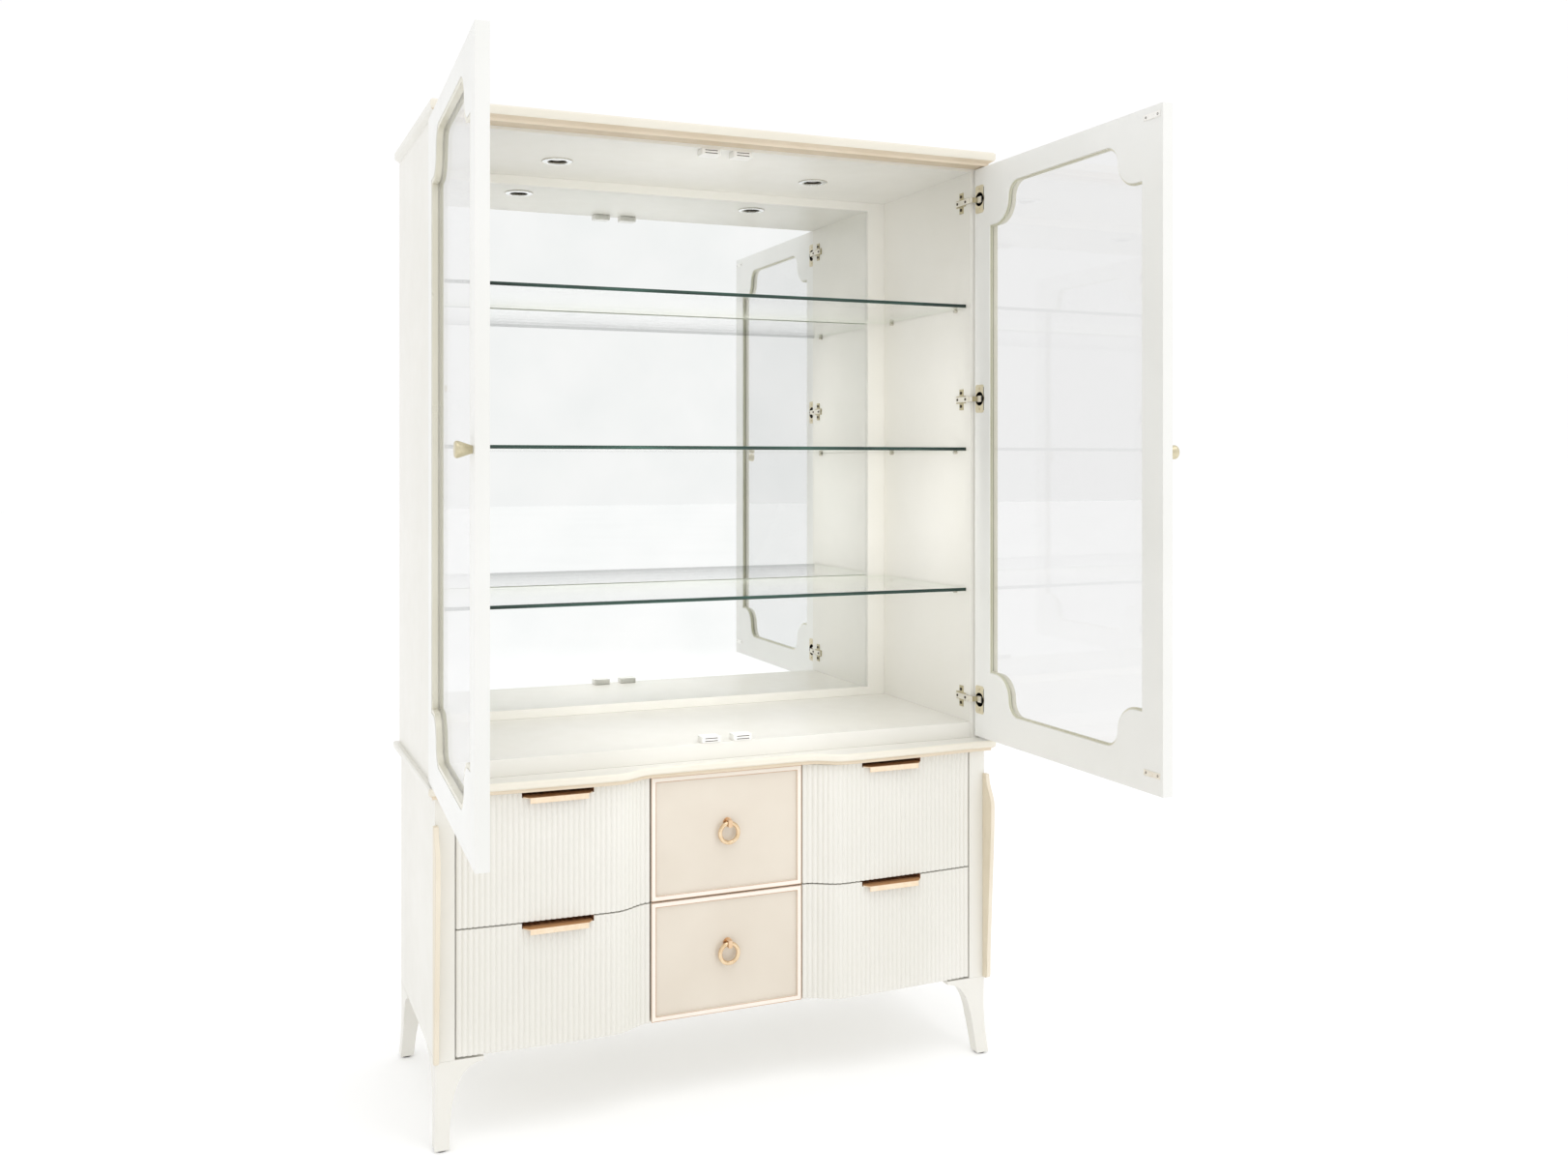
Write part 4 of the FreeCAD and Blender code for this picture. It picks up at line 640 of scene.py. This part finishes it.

# Concealed hinges: pressed cups painted near black inside as painted shade, under champagne flanges, a capped arm,
# and their screws.
hinges = {"heights": (837.0, 1552.0, 2026.0), "cupAlong": 21.5, "flangeScrew": 24.0, "flangeProud": 1.2,
          "plateScrewY": 137.0, "plateScrewRise": 16.0, "plateFace": 625.0, "armFace": 623.3,
          "armScrews": (113.0, 148.0), "cupRound": 17.4, "capFrom": 101.0, "capTo": 156.0, "capTall": 13.0,
          "capThick": 1.6, "capSteps": ((1.2, 0.7), (1.6, -0.5)), "capEase": 0.3, "capScrewSunk": 0.1,
          "linkSize": (14.0, 2.4, 15.0), "linkSteps": ((1.4, -0.6),), "linkEase": 0.5, "linkAlong": 17.5,
          "linkDeep": 1.9, "cupReach": 0.6}
for side, sign in signs.items():
    cups = eased(side + "_hinge_cups", fittings["cupEase"], finish=goldNickel)
    cupCentres = [onDoor(side, hinges["cupAlong"], 0.0, height)[0] for height in hinges["heights"]]
    facing = onDoor(side, 0.0, 0.0, 0.0)[1]
    # inside each cup: painted shade, near black
    paintFaces(cups, cupShade, lambda centre, normal: any(
        (centre - middle).cross(facing).length < hinges["cupRound"]
        and (centre - middle).dot(facing) < hinges["cupReach"]
        for middle in cupCentres))
    spots = [(*onDoor(side, hinges["cupAlong"], -hinges["flangeProud"], height + rise), 45.0)
             for height in hinges["heights"] for rise in (-hinges["flangeScrew"], hinges["flangeScrew"])]
    copiesOf(screwHead, side + "_cup_screws", spots, side + "_door", goldNickel, 0.95)
    inwards = (-sign, 0.0, 0.0)
    spots = [((sign * hinges["plateFace"], hinges["plateScrewY"], height + rise), inwards, 20.0)
             for height in hinges["heights"] for rise in (-hinges["plateScrewRise"], hinges["plateScrewRise"])]
    copiesOf(screwHead, side + "_plate_screws", spots, "cabinet", darkSteel, 1.15)

    # the arm's cover: a shallow pressed cap with eased edges
    caps = [pressedBlock(
        (sign * (hinges["armFace"] - hinges["capThick"] / 2), (hinges["capFrom"] + hinges["capTo"]) / 2, height),
        (hinges["capThick"], hinges["capTo"] - hinges["capFrom"], hinges["capTall"]),
        lambda centre, normal: normal.x * sign < -0.9, hinges["capSteps"], hinges["capEase"])
        for height in hinges["heights"]]
    settle(gathered(caps, side + "_arm_caps"), "cabinet", satinNickel)
    capFace = hinges["armFace"] - hinges["capThick"] - hinges["capScrewSunk"]
    spots = [((sign * capFace, place, height), inwards, 10.0)
             for height in hinges["heights"] for place in hinges["armScrews"]]
    copiesOf(screwHead, side + "_arm_screws", spots, "cabinet", darkSteel, 0.9)

    # the pressed link that bridges the cup, over the pin
    links = []
    for height in hinges["heights"]:
        link = pressedBlock((0.0, 0.0, 0.0), hinges["linkSize"], lambda centre, normal: normal.y > 0.9,
                            hinges["linkSteps"], hinges["linkEase"])
        place = onDoor(side, hinges["linkAlong"], hinges["linkDeep"], height)[0]
        link.matrix_world = Matrix.Translation(place * mm) @ Matrix.Rotation(
            math.radians(sign * door["open"][side]), 4, "Z")
        links.append(link)
    settle(gathered(links, side + "_cup_links"), side + "_door", satinNickel)
print("stage: hinges done")

# Strike plates: bright pressed plates with two dark screws each.
strikes = {"along": 621.0, "screwSpread": 17.0, "heights": (788.0, 2080.0), "screwSunk": 0.35}
for side in signs:
    eased(side + "_strike_plates", fittings["strikeEase"], finish=brightPlate)
    spots = [(*onDoor(side, strikes["along"] + spread, strikes["screwSunk"], height), 30.0)
             for height in strikes["heights"] for spread in (-strikes["screwSpread"], strikes["screwSpread"])]
    copiesOf(screwHead, side + "_strike_screws", spots, side + "_door", darkSteel, 0.9)

# Magnetic catches: two thin pole plates stand at the mouth of each white body.
catches = {"spread": 38.0, "face": 97.2, "levels": (787.0, 2088.0), "apart": 6.0, "long": 30.0, "deep": 6.0,
           "tall": 1.8, "proud": 0.2, "steps": ((0.4, 0.1),), "ease": 0.2}
poles = [pressedBlock(
    (sign * catches["spread"], catches["face"] + catches["deep"] / 2, level + rise),
    (catches["long"], catches["deep"] + 2 * catches["proud"], catches["tall"]),
    lambda centre, normal: normal.y < -0.9, catches["steps"], catches["ease"], segments=1)
    for sign in signs.values() for level in catches["levels"]
    for rise in (-catches["apart"] / 2, catches["apart"] / 2)]
settle(gathered(poles, "catch_pole_plates"), "cabinet", darkSteel)

# Puck lights: a chromed bezel with a well painted near black as painted shade round the frosted lens. Profiles are
# (radius, height).
puck = {"rimLow": 2092.9, "lensRadius": 21.5, "lensLift": 5.0, "lensEase": 0.8, "steps": 64,
        "bezel": [(23.0, 0.0), (23.6, 0.9), (25.4, 1.3), (30.0, 1.1), (33.5, 0.5), (35.2, 0.0), (34.8, -0.3),
                  (23.0, -0.3), (23.0, 0.0)],
        "well": [(23.0, 0.3), (19.4, -6.0), (19.4, -6.4), (23.0, -0.5), (23.0, 0.3)]}
lensLow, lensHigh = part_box("puck_light_lenses")
puckSpots = [((x, (lensLow.y + lensHigh.y) / 2 / mm, puck["rimLow"]), (0.0, 0.0, -1.0), 0.0)
             for x in (lensLow.x / mm + puck["lensRadius"], lensHigh.x / mm - puck["lensRadius"])]
bezel = turned("puckBezel", puck["bezel"], puck["steps"])
copiesOf(bezel, "puck_bezels", puckSpots, "cabinet", chromeRing)
well = turned("puckWell", puck["well"], puck["steps"])
lenses = weldedCopy("puck_light_lenses", "puck_lenses_set_back")
lenses.location.z = puck["lensLift"] * mm
modify(lenses, "BEVEL", width=puck["lensEase"] * mm, segments=2, limit_method="ANGLE")
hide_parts("puck_light_lenses")
settle(lenses, "cabinet", finishes["lens"])
# the wells round the lenses are painted near black: painted shade
copiesOf(well, "puck_gap_rings", puckSpots, "cabinet", cupShade)
for master in (bezel, well):
    bpy.data.objects.remove(master)
print("stage: catches, plates and lights done")

# Back boards are screwed on round their edges.
backScrews = {"inset": 8.0, "hutchRows": 9, "baseRows": 4, "across": 6, "turn": 37.0}


def edgeSpots(low, high, rows, across, inset):
    low, high = low / mm, high / mm
    upright = [low.z + inset + (high.z - low.z - 2 * inset) * step / (rows - 1) for step in range(rows)]
    level = [low.x + inset + (high.x - low.x - 2 * inset) * step / (across - 1) for step in range(across)]
    ring = [(x, z) for x in (level[0], level[-1]) for z in upright]
    ring += [(x, z) for x in level[1:-1] for z in (upright[0], upright[-1])]
    return [((x, high.y, z), (0.0, 1.0, 0.0), backScrews["turn"] * turn) for turn, (x, z) in enumerate(ring)]


for part, rows, (low, high) in (("hutch", backScrews["hutchRows"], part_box("hutch_back_panel")),
                                ("base", backScrews["baseRows"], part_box("base_back_panel"))):
    spots = edgeSpots(low, high, rows, backScrews["across"], backScrews["inset"])
    copiesOf(screwHead, part + "_back_screws", spots, "cabinet", finishes["steel"])
bpy.data.objects.remove(screwHead)
print("stage: back screws done")

# Room: a plain pale floor that glows a little, an even white surround and four soft lights.
room = {"floorSize": 80.0, "surround": 1.01, "floorGlow": 0.10, "white": "#FFFFFF"}
bpy.ops.object.select_all(action="DESELECT")
bpy.ops.mesh.primitive_plane_add(size=room["floorSize"], location=(0.0, 0.0, 0.0))
floor = bpy.context.object
floor.name = "studioFloor"
floorPaint, floorPlace, floorSurface = newFinish("paleStudioFloor", {
    "Roughness": 0.85, "IOR": 1.3,
    "Emission Color": toLinear(room["white"]), "Emission Strength": room["floorGlow"]})
floorCloud = addNode(floorPaint, "ShaderNodeTexNoise", {"Scale": 0.6}, [("Vector", floorPlace)])
floorColour = addNode(floorPaint, "ShaderNodeValToRGB", {"stops": [(0.3, "#FAFAFA"), (0.7, "#FCFCFC")]},
                      [("Fac", floorCloud.outputs["Fac"])])
wire(floorPaint, floorSurface, "Base Color", floorColour.outputs["Color"])
floor.data.materials.append(floorPaint)

world = bpy.data.worlds.new("whiteStudio")
bpy.context.scene.world = world
world.use_nodes = True
world.node_tree.nodes["Background"].inputs["Color"].default_value = toLinear(room["white"])
world.node_tree.nodes["Background"].inputs["Strength"].default_value = room["surround"]

# Each light: place, what it is aimed at, width, power, and whether glass and metal show it.
lamps = {
    "keySoftbox": ((2.4, -5.0, 2.6), (0.2, 0.0, 0.9), 2.6, 15.0, False),
    "topSoftbox": ((0.4, -1.6, 5.2), (0.0, 0.0, 0.8), 3.5, 23.0, True),
    "hutchFill": ((0.0, 0.06, 1.42), (0.0, 0.5, 1.42), 1.1, 3.6, False),
    "floorFill": ((0.0, -0.15, 1.25), (0.0, 0.32, 0.78), 0.8, 1.4, False),
}
for name, (place, aim, wide, power, shown) in lamps.items():
    bpy.ops.object.light_add(type="AREA", location=place)
    lamp = bpy.context.object
    lamp.name = name
    lamp.data.shape = "DISK"
    lamp.data.size = wide
    lamp.data.energy = power
    lamp.rotation_euler = (Vector(aim) - Vector(place)).to_track_quat("-Z", "Y").to_euler()
    lamp.visible_camera = lamp.visible_glossy = lamp.visible_transmission = shown

view = {"place": (-1.1143, -2.6698, 1.3964), "turn": -21.06, "lens": 30.80, "shift": (0.0491, -0.0789),
        "clip": (0.01, 200.0)}
camera = bpy.data.objects.new("viewCamera", bpy.data.cameras.new("viewCamera"))
bpy.context.scene.collection.objects.link(camera)
camera.location = view["place"]
camera.rotation_euler = (math.radians(90), 0.0, math.radians(view["turn"]))
camera.data.lens = view["lens"]
camera.data.shift_x, camera.data.shift_y = view["shift"]
camera.data.clip_start, camera.data.clip_end = view["clip"]
bpy.context.scene.camera = camera
bpy.context.scene.view_settings.view_transform = "Standard"

print("stage: all made")
